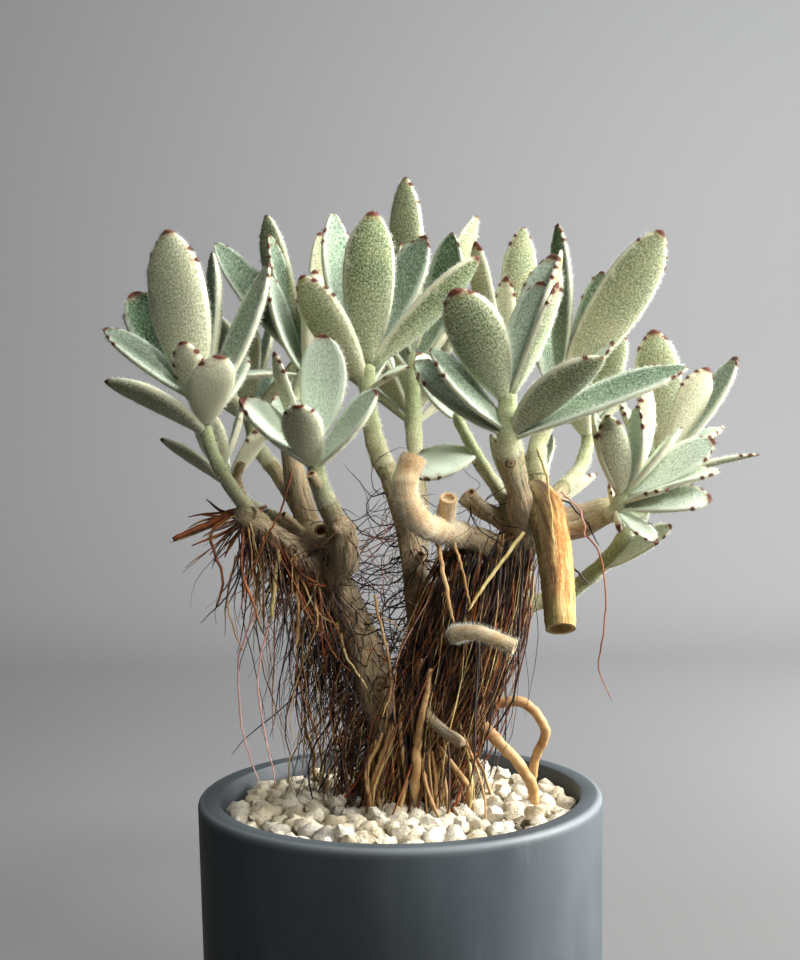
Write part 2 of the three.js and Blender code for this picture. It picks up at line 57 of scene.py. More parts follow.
# %% Set up the camera
camera_place = Vector((2.0, -600.0, 296.3)) * mm
camera_pitch = math.radians(3.8)
camera_roll = math.radians(1.0)
focal_pixels = 1631
picture_height = 960
film_height = 36

forward = Vector((0, math.cos(camera_pitch), -math.sin(camera_pitch)))
upward = Vector((0, math.sin(camera_pitch), math.cos(camera_pitch)))
rightward = Vector((1, 0, 0))
picture_right = rightward * math.cos(camera_roll) - upward * math.sin(camera_roll)
picture_up = rightward * math.sin(camera_roll) + upward * math.cos(camera_roll)

camera_data = bpy.data.cameras.new("camera")
camera_data.sensor_width = film_height
camera_data.lens = film_height * focal_pixels / picture_height
camera = bpy.data.objects.new("camera", camera_data)
bpy.context.scene.collection.objects.link(camera)
turn = Matrix((picture_right, picture_up, -forward)).transposed()
camera.matrix_world = Matrix.Translation(camera_place) @ turn.to_4x4()
camera.data.clip_start = 0.01
bpy.context.scene.camera = camera
print("lens:", round(camera_data.lens, 2), "mm")


# %% [markdown]
# ## Small helpers
# An operator acts on all that is selected, so each step first lets go of everything and
# then picks its own piece. Materials are built from nodes; `wire` adds one node, sets its
# plain settings, and joins its inputs to values or to other nodes' outputs.

# %% Helpers for picking, finishing and wiring
def let_go():
    if bpy.context.object and bpy.context.object.mode != "OBJECT":
        bpy.ops.object.mode_set(mode="OBJECT")
    bpy.ops.object.select_all(action="DESELECT")


def pick(*pieces):
    let_go()
    for piece in pieces:
        piece.select_set(True)
    bpy.context.view_layer.objects.active = pieces[0]
    return pieces[0]


def settle(piece):
    """The piece's place goes into its mesh, so that its object sits at the origin."""
    pick(piece)
    bpy.ops.object.transform_apply(location=True, rotation=True, scale=True)
    return piece


def joined(name, pieces):
    pick(*pieces)
    if len(pieces) > 1:
        bpy.ops.object.join()
    whole = bpy.context.object
    whole.name = name
    whole.data.name = name
    return whole


def apply_all(piece):
    pick(piece)
    for modifier in list(piece.modifiers):
        bpy.ops.object.modifier_apply(modifier=modifier.name)
    return piece


def placed(name, data):
    """An object in the scene for a mesh, a curve or a lamp."""
    made = bpy.data.objects.new(name, data)
    bpy.context.scene.collection.objects.link(made)
    return made


def triangles(piece):
    return sum(len(face.vertices) - 2 for face in piece.data.polygons)


def skin_of(piece):
    """The piece's vertices in millimetres, and its triangles."""
    piece.data.calc_loop_triangles()
    points = np.array([v.co for v in piece.data.vertices]) / mm
    return points, np.array([t.vertices[:] for t in piece.data.loop_triangles])


def store(mesh, name, values, kind="FLOAT"):
    """Gives each vertex of a mesh a named value, or a vector of three, for its finish."""
    field = "value" if kind == "FLOAT" else "vector"
    numbers = np.asarray(values, np.float32).ravel()
    mesh.attributes.new(name, kind, "POINT").data.foreach_set(field, numbers)


def wire(tree, kind, inputs=None, **settings):
    made = tree.nodes.new(kind)
    for key, value in settings.items():
        setattr(made, key, value)
    for key, value in (inputs or {}).items():
        if isinstance(value, bpy.types.NodeSocket):
            tree.links.new(value, made.inputs[key])
        else:
            made.inputs[key].default_value = value
    return made


def finish_named(name, roughness=0.8):
    material = bpy.data.materials.new(name)
    material.use_nodes = True
    shader = material.node_tree.nodes["Principled BSDF"]
    shader.inputs["Roughness"].default_value = roughness
    return material, material.node_tree, shader


def tint(r, g, b):
    """A colour as seen on screen, from 0 to 255, as the linear colour that a shader wants."""
    def straight(v):
        v /= 255
        return v / 12.92 if v <= 0.04045 else ((v + 0.055) / 1.055) ** 2.4
    return (straight(r), straight(g), straight(b), 1)


def ramp(tree, value, stops, smooth=False):
    made = wire(tree, "ShaderNodeValToRGB", {"Fac": value})
    made.color_ramp.interpolation = "EASE" if smooth else "LINEAR"
    while len(made.color_ramp.elements) < len(stops):
        made.color_ramp.elements.new(0.5)
    for element, (place, colour) in zip(made.color_ramp.elements, stops):
        element.position = place
        element.color = colour
    return made.outputs["Color"]


def blend_colours(tree, share, low, high, mode="MIX"):
    made = wire(tree, "ShaderNodeMix", data_type="RGBA", blend_type=mode)
    for key, value in ((0, share), (6, low), (7, high)):
        if isinstance(value, bpy.types.NodeSocket):
            tree.links.new(value, made.inputs[key])
        else:
            made.inputs[key].default_value = value
    return made.outputs[2]


def maths(tree, operation, a, b=0.0, clamp=False):
    made = wire(tree, "ShaderNodeMath", {0: a, 1: b}, operation=operation, use_clamp=clamp)
    return made.outputs[0]


def plus(tree, value, more, share):
    """The value with a share of more added."""
    return maths(tree, "ADD", value, maths(tree, "MULTIPLY", more, share))


def between(tree, value, low, high):
    """0 below low, 1 above high, and even in between."""
    made = wire(tree, "ShaderNodeMapRange", {"Value": value, "From Min": low, "From Max": high})
    return made.outputs["Result"]


def layer(tree, base, value, limits, colour, share=1.0):
    """The base with a colour over it: none at the first limit, its share at the second."""
    cover = between(tree, value, *limits)
    if share != 1:
        cover = maths(tree, "MULTIPLY", cover, share)
    return blend_colours(tree, cover, base, colour)


def speckle(tree, place, scale, detail=2.0, roughness=0.5):
    made = wire(tree, "ShaderNodeTexNoise", {
        "Vector": place, "Scale": scale, "Detail": detail, "Roughness": roughness})
    return made.outputs["Fac"]


def stretched(tree, place, scale):
    return wire(tree, "ShaderNodeMapping", {"Vector": place, "Scale": scale}).outputs["Vector"]


def bumps(tree, shader, height, strength, depth):
    made = wire(tree, "ShaderNodeBump", {"Height": height, "Strength": strength, "Distance": depth})
    tree.links.new(made.outputs["Normal"], shader.inputs["Normal"])


def own_place(tree):
    return wire(tree, "ShaderNodeTexCoord").outputs["Object"]


def own_value(tree, name, output="Fac"):
    return wire(tree, "ShaderNodeAttribute", attribute_name=name).outputs[output]


# %% [markdown]
# ## Growth lines
# A stem or a root follows a smooth line through a few points. The line here is the same
# centripetal curve as in the part's source, walked at an even pace, so that each dressed
# piece lies on its solid.

# %% A smooth line through points
def smooth_line(points, count):
    """Evenly spaced points in millimetres along the curve through points."""
    given = [Vector(p) for p in points]
    ends = [given[0] * 2 - given[1], *given, given[-1] * 2 - given[-2]]
    fine = []
    steps = 24
    for k in range(len(given) - 1):
        p0, p1, p2, p3 = ends[k:k + 4]
        d1 = max((p2 - p1).length ** 0.5, 1e-4)
        d0 = (p1 - p0).length ** 0.5 or d1
        d2 = (p3 - p2).length ** 0.5 or d1
        t1 = ((p1 - p0) / d0 - (p2 - p0) / (d0 + d1) + (p2 - p1) / d1) * d1
        t2 = ((p2 - p1) / d1 - (p3 - p1) / (d1 + d2) + (p3 - p2) / d2) * d1
        for i in range(steps):
            t = i / steps
            fine.append(p1 + t1 * t + (p2 * 3 - p1 * 3 - t1 * 2 - t2) * t * t
                        + (p1 * 2 - p2 * 2 + t1 + t2) * t * t * t)
    fine.append(given[-1])
    line = np.array(fine)
    walked = np.concatenate(([0], np.cumsum(np.linalg.norm(np.diff(line, axis=0), axis=1))))
    want = np.linspace(0, walked[-1], count)
    return np.stack([np.interp(want, walked, line[:, axis]) for axis in range(3)], axis=1)


def line_length(line):
    return float(np.linalg.norm(np.diff(line, axis=0), axis=1).sum())


def thick_line(plan, count):
    """The line of a plan, and its radius at each point."""
    return smooth_line(plan["path"], count), np.linspace(*plan["radius"], count)


def unit(v):
    return v / np.linalg.norm(v)


def heading_at(line, k):
    return unit(line[min(k + 1, len(line) - 1)] - line[max(k - 1, 0)])


# %% Round bodies along lines
def tubes(name, lines, corners=3):
    """Round bodies along lines of (points, radii) in millimetres: one curve, made a mesh."""
    data = bpy.data.curves.new(name, "CURVE")
    data.dimensions = "3D"
    data.bevel_depth = mm
    data.bevel_resolution = corners
    data.use_fill_caps = True
    for points, radii in lines:
        spline = data.splines.new("POLY")
        spline.points.add(len(points) - 1)
        spline.points.foreach_set(
            "co", np.column_stack([np.asarray(points) * mm, np.ones(len(points))]).ravel())
        spline.points.foreach_set("radius", np.asarray(radii, float))
    pick(placed(name, data))
    bpy.ops.object.convert(target="MESH")
    piece = bpy.context.object
    bpy.ops.object.mode_set(mode="EDIT")
    bpy.ops.mesh.select_all(action="SELECT")
    bpy.ops.mesh.remove_doubles(threshold=1e-6)
    bpy.ops.mesh.normals_make_consistent(inside=False)
    bpy.ops.object.mode_set(mode="OBJECT")
    bpy.ops.object.shade_smooth()
    return piece


# %% [markdown]
# ## Pot
# The pot is one cast cylinder with an 8 mm wall and a flat rim whose edges are rubbed round.
# It could be turned from an outline. Here a primitive cylinder is shaped by hand: the top is
# inset to the wall's thickness, pushed down to the floor, and the rim's edges are bevelled.

# %% Model the pot
pot_radius = 75 * mm
pot_foot_radius = 73.5 * mm
pot_height = 140 * mm
pot_wall = 8 * mm
pot_floor = 12 * mm
rim_round = 2.2 * mm
pot_sides = 144

let_go()
bpy.ops.mesh.primitive_cylinder_add(
    vertices=pot_sides, radius=pot_radius, depth=pot_height, location=(0, 0, pot_height / 2))
pot = bpy.context.object
pot.name = "cast_pot"
settle(pot)


def select_where(piece, kind, test):
    """Selects the vertices, edges or faces whose middle passes the test, in edit mode."""
    pick(piece)
    bpy.ops.object.mode_set(mode="EDIT")
    bpy.context.tool_settings.mesh_select_mode = (kind == "VERT", kind == "EDGE", kind == "FACE")
    bpy.ops.mesh.select_all(action="DESELECT")
    bpy.ops.object.mode_set(mode="OBJECT")
    mesh = piece.data
    parts = {"VERT": mesh.vertices, "EDGE": mesh.edges, "FACE": mesh.polygons}[kind]
    for part in parts:
        if kind == "VERT":
            middle = part.co
        elif kind == "EDGE":
            middle = (mesh.vertices[part.vertices[0]].co + mesh.vertices[part.vertices[1]].co) / 2
        else:
            middle = part.center
        part.select = test(middle, part)
    bpy.ops.object.mode_set(mode="EDIT")


select_where(pot, "VERT", lambda p, v: p.z < pot_height / 2)
bpy.ops.transform.resize(value=(pot_foot_radius / pot_radius, pot_foot_radius / pot_radius, 1))
select_where(pot, "FACE", lambda p, f: f.normal.z > 0.9)
bpy.ops.mesh.inset(thickness=pot_wall)
bpy.ops.mesh.extrude_region_move(TRANSFORM_OT_translate={"value": (0, 0, pot_floor - pot_height)})
select_where(pot, "EDGE", lambda p, e: (
    abs(p.z - pot_height) < 1e-5 and math.hypot(p.x, p.y) > pot_radius - pot_wall * 0.5
    and (pot.data.vertices[e.vertices[0]].co.xy.length
         - pot.data.vertices[e.vertices[1]].co.xy.length) ** 2 < 1e-10))
bpy.ops.mesh.bevel(offset=rim_round, segments=4)
select_where(pot, "EDGE", lambda p, e: (
    abs(p.z - pot_height) < 1e-5 and math.hypot(p.x, p.y) < pot_radius - pot_wall * 0.8
    and (pot.data.vertices[e.vertices[0]].co.xy.length
         - pot.data.vertices[e.vertices[1]].co.xy.length) ** 2 < 1e-10))
bpy.ops.mesh.bevel(offset=rim_round * 0.4, segments=2)
select_where(pot, "EDGE", lambda p, e: p.z < 1e-5 and math.hypot(p.x, p.y) > pot_foot_radius * 0.9)
bpy.ops.mesh.bevel(offset=1.2 * mm, segments=3)
bpy.ops.object.mode_set(mode="OBJECT")
bpy.ops.object.shade_smooth_by_angle(angle=math.radians(35))
print("pot:", triangles(pot), "triangles")

# %% [markdown]
# The drain holes in the pot's floor are bored with a cylinder as the cutting tool. They
# can't be seen from above, because the soil covers them.

# %% Bore the drain holes
drain_radius = 4.5 * mm
drain_circle = 22 * mm
for k in range(3):
    turn = math.radians(90 + 120 * k)
    let_go()
    bpy.ops.mesh.primitive_cylinder_add(
        vertices=24, radius=drain_radius, depth=3 * pot_floor,
        location=(drain_circle * math.cos(turn), drain_circle * math.sin(turn), 0))
    drill = bpy.context.object
    bore = pot.modifiers.new("bore", "BOOLEAN")
    bore.operation = "DIFFERENCE"
    bore.object = drill
    apply_all(pot)
    bpy.data.objects.remove(drill)
print("pot with drains:", triangles(pot), "triangles")

# %% [markdown]
# The pot's surface is matt, dark, blue-grey and slightly cloudy, as cast stoneware is: pale
# mineral bloom in soft streaks, fine pores, and a paler line where the rim's edge is rubbed.

# %% Cast surface of the pot
cast, tree, shader = finish_named("cast_stoneware", roughness=0.62)
place = own_place(tree)
cloud = speckle(tree, stretched(tree, place, (1, 1, 0.45)), 26, 5, 0.6)
bloom = speckle(tree, stretched(tree, place, (1, 1, 0.25)), 70, 4, 0.65)
grain = speckle(tree, place, 1400, 3, 0.7)
base = ramp(tree, cloud, [(0.3, tint(56, 63, 68)), (0.55, tint(66, 74, 79)), (0.75, tint(78, 86, 91))])
base = layer(tree, base, bloom, (0.6, 0.85), tint(98, 104, 108), 0.5)
base = layer(tree, base, grain, (0.62, 0.74), tint(92, 99, 104), 0.6)
height = wire(tree, "ShaderNodeSeparateXYZ", {"Vector": place}).outputs["Z"]
outwards = wire(tree, "ShaderNodeVectorMath", {0: stretched(tree, place, (1, 1, 0))},
                operation="LENGTH").outputs["Value"]
near_edge = maths(tree, "MULTIPLY",
                  between(tree, height, pot_height - 3.4 * mm, pot_height - 1.2 * mm),
                  between(tree, outwards, pot_radius - 2.6 * mm, pot_radius - 1.2 * mm))
base = blend_colours(tree, maths(tree, "MULTIPLY", near_edge, 0.35), base, tint(150, 156, 160))
tree.links.new(base, shader.inputs["Base Color"])
tree.links.new(ramp(tree, cloud, [(0.3, (0.5, 0.5, 0.5, 1)), (0.8, (0.72, 0.72, 0.72, 1))]),
               shader.inputs["Roughness"])
bumps(tree, shader, maths(tree, "ADD", maths(tree, "MULTIPLY", grain, 0.5), bloom), 0.25, 0.2 * mm)
pot.data.materials.clear()
pot.data.materials.append(cast)
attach(pot, "root")
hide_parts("pot")
print("pot finish:", cast.name)

# %% [markdown]
# ## Soil
# The soil is hidden under the gravel, so its solid stays as it is and only gets the look of
# dark crumbs, in case a gap between the stones shows it.

# %% Dark crumbs of soil
crumbs, tree, shader = finish_named("dark_soil", roughness=0.95)
place = own_place(tree)
lumps = speckle(tree, place, 380, 6, 0.7)
tree.links.new(ramp(tree, lumps, [(0.3, tint(24, 16, 10)), (0.6, tint(58, 42, 30)), (0.8, tint(96, 74, 54))]),
               shader.inputs["Base Color"])
bumps(tree, shader, lumps, 0.9, 1.2 * mm)
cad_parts["soil"].data.materials.clear()
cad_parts["soil"].data.materials.append(crumbs)
print("soil finish:", crumbs.name)

# %% [markdown]
# ## Gravel
# The soil is topped with crushed pumice: blunt, pitted stones of 7 to 11 mm, most of them
# cream and a few grey. Four stones are shaped from an icosphere by shaking and flattening
# it, and copies are turned and laid in two layers. A copy has only 80 faces, because there
# are hundreds of them; the pits are in the finish.

# %% Shape four stones
rng = np.random.default_rng(7)
gravel_top = 134.5 * mm
bed_radius = pot_radius - pot_wall - 0.5 * mm
crown = Vector((5, 11, 0)) * mm
crown_radius = 15.5 * mm

stone_shapes = []
for k in range(4):
    let_go()
    bpy.ops.mesh.primitive_ico_sphere_add(subdivisions=2, radius=1)
    stone = bpy.context.object
    stone.name = f"stone_shape_{k}"
    bpy.ops.object.mode_set(mode="EDIT")
    bpy.ops.mesh.select_all(action="SELECT")
    bpy.ops.transform.vertex_random(offset=0.25, uniform=0.5, normal=0.5, seed=11 + k)
    bpy.ops.transform.resize(value=(1, 0.84 - 0.05 * k, 0.66 + 0.05 * k))
    bpy.ops.object.mode_set(mode="OBJECT")
    settle(stone)
    stone_shapes.append(stone)
print("stone shapes:", len(stone_shapes), "of", triangles(stone_shapes[0]), "triangles")

# %% [markdown]
# The stones are strewn by trial: a place is drawn inside the pot and outside the root crown,
# and it is kept if it is far enough from the ones that are there. The upper layer lies a
# little denser and less level. The bed is a little lower along the pot's wall.

# %% Strew the stones
wall_gap = 4.2 * mm
smallest_stone = 3.7
stone_range = 1.9
edge_drop = 1.2 * mm
whole_turn = 6.283


def strewn(count, gap, tries):
    places = []
    for _ in range(tries):
        r = (bed_radius - wall_gap) * math.sqrt(rng.random())
        turn = 2 * math.pi * rng.random()
        x, y = r * math.cos(turn), r * math.sin(turn)
        if math.hypot(x - crown.x, y - crown.y) < crown_radius:
            continue
        if all((x - a) ** 2 + (y - b) ** 2 > gap * gap for a, b in places):
            places.append((x, y))
        if len(places) == count:
            break
    return places


def lay_stones(places, layer_top, spread, tone_shift):
    laid = []
    for x, y in places:
        shape = stone_shapes[int(rng.integers(len(stone_shapes)))]
        size = (smallest_stone + stone_range * rng.random() ** 1.3) * mm
        stone = placed("stone", shape.data.copy())
        spin = Matrix.Rotation(rng.random() * whole_turn, 4, "Z")
        lean = (rng.random() - 0.5) * 1.5
        tip = Matrix.Rotation(lean, 4, Vector((rng.random() - 0.5, rng.random() - 0.5, 0.01)))
        edge = 1 - math.hypot(x, y) / bed_radius
        z = layer_top - size * 0.62 + (rng.random() - 0.5) * spread + edge_drop * min(edge * 3, 1)
        stone.data.transform(Matrix.Translation((x, y, z)) @ tip @ spin @ Matrix.Scale(size, 4))
        store(stone.data, "tone", np.full(len(stone.data.vertices), rng.random() + tone_shift))
        laid.append(stone)
    return laid


lower = strewn(205, 7.2 * mm, 9000)
upper = strewn(235, 6.8 * mm, 12000)
stones = lay_stones(lower, gravel_top - 3.6 * mm, 1.5 * mm, -0.15)
stones += lay_stones(upper, gravel_top + 1.6 * mm, 2.2 * mm, 0.0)
gravel = joined("pumice_gravel", stones)
pick(gravel)
bpy.ops.object.shade_smooth_by_angle(angle=math.radians(60))
for shape in stone_shapes:
    bpy.data.objects.remove(shape)
print("stones:", len(lower), "+", len(upper), "=", triangles(gravel), "triangles")

# %% [markdown]
# Pumice is dry and chalky. Its colour runs from cream to a pale grey-brown from stone to
# stone, with dark pits and a dusting of sand in the hollows.

# %% Chalky pumice
pumice, tree, shader = finish_named("chalky_pumice", roughness=0.92)
place = own_place(tree)
tone = own_value(tree, "tone")
pits = speckle(tree, place, 900, 4, 0.75)
stain = speckle(tree, place, 240, 4, 0.6)
base = ramp(tree, tone, [
    (0.0, tint(206, 192, 160)), (0.25, tint(232, 222, 196)), (0.6, tint(248, 240, 220)),
    (0.88, tint(238, 224, 192)), (1.0, tint(184, 178, 166))])
base = layer(tree, base, stain, (0.52, 0.78), tint(206, 186, 148), 0.7)
base = layer(tree, base, pits, (0.44, 0.3), tint(150, 130, 98))
tree.links.new(base, shader.inputs["Base Color"])
bumps(tree, shader, plus(tree, pits, stain, 1.5), 1.0, 1.3 * mm)
gravel.data.materials.clear()
gravel.data.materials.append(pumice)
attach(gravel, "root")
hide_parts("gravel")
print("gravel finish:", pumice.name)

# %% [markdown]
# ## The plant's plan
# The tables below are the plant itself, in millimetres: the bare stems, the stubs, the cut
# branch, the prop roots and the leafy shoots. A shoot is a path from inside the wood to its
# growing tip. Each of its leaves is a row: how far below the tip it starts, then where its
# own tip lies from the growing tip (right, back, up), its width, and how far its upper side
# is turned from the front. Without that angle the upper side faces the stem.

# %% Bare stems and stubs
stems = [
    {"path": [(2, 10, 128), (-3, 6, 158), (-10, 0, 186), (-19, -6, 213), (-27, -10, 230), (-32, -10, 240)],
     "radius": (8.4, 6.6)},
    {"path": [(5, 12, 128), (10, 10, 172), (9, 8, 203), (5, 4, 234), (0, 0, 253)], "radius": (7.2, 4.4)},
    {"path": [(10, 14, 128), (19, 12, 164), (29, 8, 195), (40, 2, 222), (49, -5, 241)], "radius": (8.4, 6.8)},
    {"path": [(42, 2, 224), (31, -8, 234), (20, -17, 238)], "radius": (5.5, 4.5)},
    {"path": [(47, -4, 236), (38, -6, 242), (31, -10, 246), (25, -12, 251)], "radius": (4, 3.2)},
    {"path": [(-21, -14, 226), (-18, -22, 230), (-18, -30, 243)], "radius": (5, 4.4)},
    {"path": [(-27, -9, 222), (-38, -15, 233), (-46, -19, 240), (-53, -22, 245)], "radius": (5, 4)},
    {"path": [(10, 0, 173), (11, -14, 171), (17, -19, 166), (23, -24, 163)], "radius": (2.5, 2.2)},
]
hook_stub = {"radius": (4.6, 4.4), "path": [
    (24, -13, 237), (17, -24, 240), (10, -34, 243), (5, -39, 250), (4, -40, 259), (7, -38, 267)]}
short_stub = {"radius": (3.6, 3.2), "path": [(21, -15, 236), (18, -22, 241), (19, -30, 252)]}
hollow_stub = {"radius": (3, 2.7), "path": [
    (29, 6, 196), (23, -14, 201), (21, -26, 203), (28, -33, 204.5), (41, -38, 200)]}
dry_twig = {"radius": (1.8, 0.9), "path": [
    (-50, -19, 246), (-58, -18, 247), (-68, -20, 243), (-79, -22, 238)]}
cut_branch = {"radius": (7.2, 5.4), "path": [
    (50, -5, 250), (54, -12, 246), (56, -20, 236), (57, -28, 221), (57, -37, 206)]}
prop_roots = [
    {"path": [(12, -16, 189), (8, -16, 167), (6, -12, 141), (6, -6, 128)], "radius": (0.8, 2.3)},
    {"path": [(0, 4, 172), (-3, -9, 160), (-9, -9, 147), (-14, -6, 130)], "radius": (1.8, 1.5)},
    {"path": [(20, 8, 172), (34, -6, 163), (44, -8, 152), (49, -5, 142), (49, -2, 129)], "radius": (2.4, 2)},
    {"path": [(24, 8, 163), (38, 6, 171), (47, 6, 171), (55, 11, 160), (52, 17, 148), (49, 21, 130)],
     "radius": (2.1, 1.7)},
]
print("bare stems:", len(stems), "prop roots:", len(prop_roots))

# %% Leafy shoots
shoots = [
    {"name": "far_left_shoot", "radius": (3.1, 2.0), "bare": 0.42,
     "path": [(-30, -11, 226), (-44, -17, 239), (-52, -21, 248), (-59, -26, 259), (-64, -30, 271),
              (-67, -32, 290)],
     "leaves": [
         (14, -31, -12, 5, 15, 120), (3, -33, 0, 23, 14, 60), (2, -25, 14, 36, 20, 25),
         (3, -10, -1, 57, 21, 178), (6, -4, -13, 18, 11, 178), (2, 4, 14, 50, 15, 70),
         (6, 25, 4, 45, 16, 50), (11, 9, -14, 13, 16, 150), (10, 12, 30, 14, 15), (8, -14, 26, 32, 14)]},
    {"name": "front_left_shoot", "radius": (5, 2.7), "bare": 0.62,
     "path": [(-25, -9, 222), (-19, -17, 231), (-21, -26, 244), (-26, -36, 258), (-28, -42, 274)],
     "leaves": [
         (10, -3, -24, 12, 14, 180), (4, -12, -5, 30, 10, 120), (3, 4, 10, 36, 17, 25),
         (10, -24, -6, 14, 16, 65), (10, 23, -6, 16, 15, 68), (8, -12, 22, 16, 13)]},
    {"name": "centre_shoot", "radius": (4.6, 2.6), "bare": 0.34,
     "path": [(3, 2, 244), (-1, -1, 256), (-6, -4, 268), (-9, -6, 283), (-9, -8, 301)],
     "leaves": [
         (2, 3, -5, 53, 19, 178), (8, -23, -10, 30, 16, 150), (2, -12, 12, 54, 17, 45),
         (2, 22, 9, 45, 17, 35), (3, 41, -4, 36, 17, 125), (11, 15, -8, -3, 10, 80), (10, 8, 24, 22, 14)]},
    {"name": "back_tall_shoot", "radius": (4.2, 2.4), "bare": 0.5,
     "path": [(8, 10, 215), (8, 24, 240), (8, 38, 270), (8, 44, 305)],
     "leaves": [
         (2, -2, 4, 68, 15, 150), (6, 16, -6, 45, 15, 35), (4, 27, 13, 53, 14, 120), (2, -4, -5, 42, 9, 60),
         (8, 0, 26, 40, 15), (10, -22, 8, 24, 14), (10, 22, 6, 20, 14)]},
    {"name": "back_left_shoot", "radius": (5.2, 2.6), "bare": 0.52,
     "path": [(-29, -7, 230), (-35, 2, 250), (-38, 10, 264), (-38, 22, 281), (-35, 36, 296), (-33, 42, 308)],
     "leaves": [
         (3, -16, 5, 51, 14, 150), (6, 6, -6, 43, 14, 120), (4, -14, -10, 42, 12, 60),
         (8, -36, 2, 40, 15, 40), (12, -14, -16, 26, 14, 60), (10, 4, -14, 28, 12, 130),
         (14, -32, -14, -14, 10, 80), (12, 20, 10, 12, 14), (10, -6, 26, 24, 15)]},
    {"name": "centre_right_shoot", "radius": (5.2, 3.3), "bare": 0.6,
     "path": [(47, -7, 238), (44, -18, 253), (40, -27, 266), (40, -30, 277), (40, -31, 290)],
     "leaves": [
         (4, -19, -15, 34, 20, 172), (3, -11, 3, 34, 16, 30), (3, 17, -11, 36, 12, 115),
         (2, 13, 3, 37, 16, 35), (3, 18, 12, 47, 16, 40), (2, 20, 5, 48, 14, 110),
         (17, 31, -21, 10, 16, 150), (14, -27, -6, 14, 15, 60), (16, -32, 5, 10, 14, 40),
         (18, 63, -1, 6, 16, 60)]},
    {"name": "right_back_shoot", "radius": (4.4, 2.6), "bare": 0.36,
     "path": [(50, 1, 236), (54, 10, 255), (54, 14, 268), (60, 17, 280), (64, 18, 294)],
     "leaves": [
         (3, 37, -10, 53, 20, 172), (3, 0, 10, 58, 15, 60), (2, 16, 2, 39, 13, 40), (10, 35, 6, 32, 15, 120),
         (6, 19, -8, 12, 8, 60), (12, 9, -7, -12, 13, 30), (10, 0, 32, 20, 15)]},
    {"name": "back_right_shoot", "radius": (4, 2.4), "bare": 0.5,
     "path": [(46, 6, 232), (48, 24, 252), (46, 40, 276), (45, 50, 300)],
     "leaves": [
         (3, 7, -6, 52, 15, 172), (4, -12, -6, 47, 14, 120), (2, 0, -9, 33, 9, 160),
         (8, 22, 12, 26, 15), (8, -10, 26, 22, 15), (8, 12, 26, 24, 14)]},
    {"name": "far_right_shoot", "radius": (4, 2.3), "bare": 0.5,
     "path": [(52, 3, 239), (74, 14, 243), (94, 24, 248), (106, 30, 264)],
     "leaves": [
         (3, -6, -4, 47, 18, 172), (4, 15, -4, 32, 15, 150), (5, 28, 6, 36, 14, 60),
         (8, 4, 26, 22, 14), (8, 24, 16, 8, 14), (10, -16, 20, 20, 14)]},
    {"name": "right_shoot", "radius": (4.2, 2.5), "bare": 0.68,
     "path": [(49, -1, 237), (66, -4, 237), (74, -10, 241), (80, -15, 246), (83, -17, 256)],
     "leaves": [
         (5, -12, -3, 25, 13, 60), (6, -8, -11, 24, 11, 176), (3, 4, -5, 27, 12, 60), (3, 10, 8, 34, 13, 140),
         (5, 19, -7, 19, 12, 95), (5, 32, 0, 14, 13, 40), (6, 50, 8, 8, 9, 100), (8, 33, -5, 3, 12, 75),
         (11, 30, -5, -7, 14, 55), (9, 14, -9, -3, 7, 90), (12, 10, -6, -22, 8, 40),
         (12, -3, -4, -18, 6, 70)]},
    {"name": "thin_shoot", "radius": (2.6, 1.9), "bare": 0.3,
     "path": [(46, -4, 238), (35, -10, 257), (27, -14, 271), (22, -16, 281)],
     "leaves": [(2, -13, 3, 22, 13, 40), (17, -16, -3, -22, 16, 45), (4, 8, 10, 20, 10, 40)]},
    {"name": "low_right_shoot", "radius": (4, 2.6), "bare": 0.3,
     "path": [(30, 8, 198), (51, 18, 207), (62, 16, 210), (73, 12, 218), (82, 8, 228), (88, 6, 238)],
     "leaves": [(22, 14, -8, 0, 10, 60), (16, 10, 16, -6, 10), (4, 8, 4, 12, 9), (2, -8, 3, 15, 9)]},
    {"name": "rear_left_shoot", "radius": (3.8, 2.4), "bare": 0.5,
     "path": [(-33, 4, 242), (-44, 30, 256), (-56, 54, 270), (-60, 64, 288)], "whorl": (7, 85, 46, 16)},
    {"name": "rear_shoot", "radius": (4, 2.4), "bare": 0.5,
     "path": [(8, 14, 222), (10, 44, 244), (8, 72, 264), (6, 86, 286)], "whorl": (8, 20, 48, 16)},
    {"name": "rear_right_shoot", "radius": (4, 2.4), "bare": 0.5,
     "path": [(50, 4, 230), (62, 34, 246), (76, 60, 258), (82, 70, 280)], "whorl": (7, 100, 46, 16)},
    {"name": "left_low_shoot", "radius": (3.3, 2.1), "bare": 0.4,
     "path": [(-31, -3, 236), (-46, 10, 242), (-60, 22, 250), (-68, 28, 266)], "whorl": (6, 200, 27, 12)},
    {"name": "low_rear_shoot", "radius": (3.6, 2.3), "bare": 0.5,
     "path": [(30, 12, 204), (44, 40, 214), (52, 64, 226), (54, 74, 244)], "whorl": (6, 0, 36, 14)},
]
print("leafy shoots:", len(shoots))


# %% [markdown]
# Shoots at the back carry a plain whorl: each leaf stands the golden angle further round the
# stem than the one below it and leans out less, and the top ones are a little shorter.

# %% Leaves of a whorl
golden_angle = 137.5


def whorl_rows(count, start, length, width):
    rows = []
    for k in range(count):
        rise = k / (count - 1)
        turn = math.radians(start + k * golden_angle)
        lean = math.radians(74 - 56 * rise)
        reach = length * (0.86 + 0.3 * rise - 0.42 * rise * rise)
        rows.append((14 - 12 * rise, reach * math.sin(lean) * math.cos(turn),
                     reach * math.sin(lean) * math.sin(turn), reach * math.cos(lean),
                     width * (1 - 0.3 * rise * rise)))
    return rows


for shoot in shoots:
    shoot["rows"] = list(shoot.get("leaves", []))
    if "whorl" in shoot:
        shoot["rows"] += whorl_rows(*shoot["whorl"])
print("leaves:", sum(len(shoot["rows"]) for shoot in shoots))

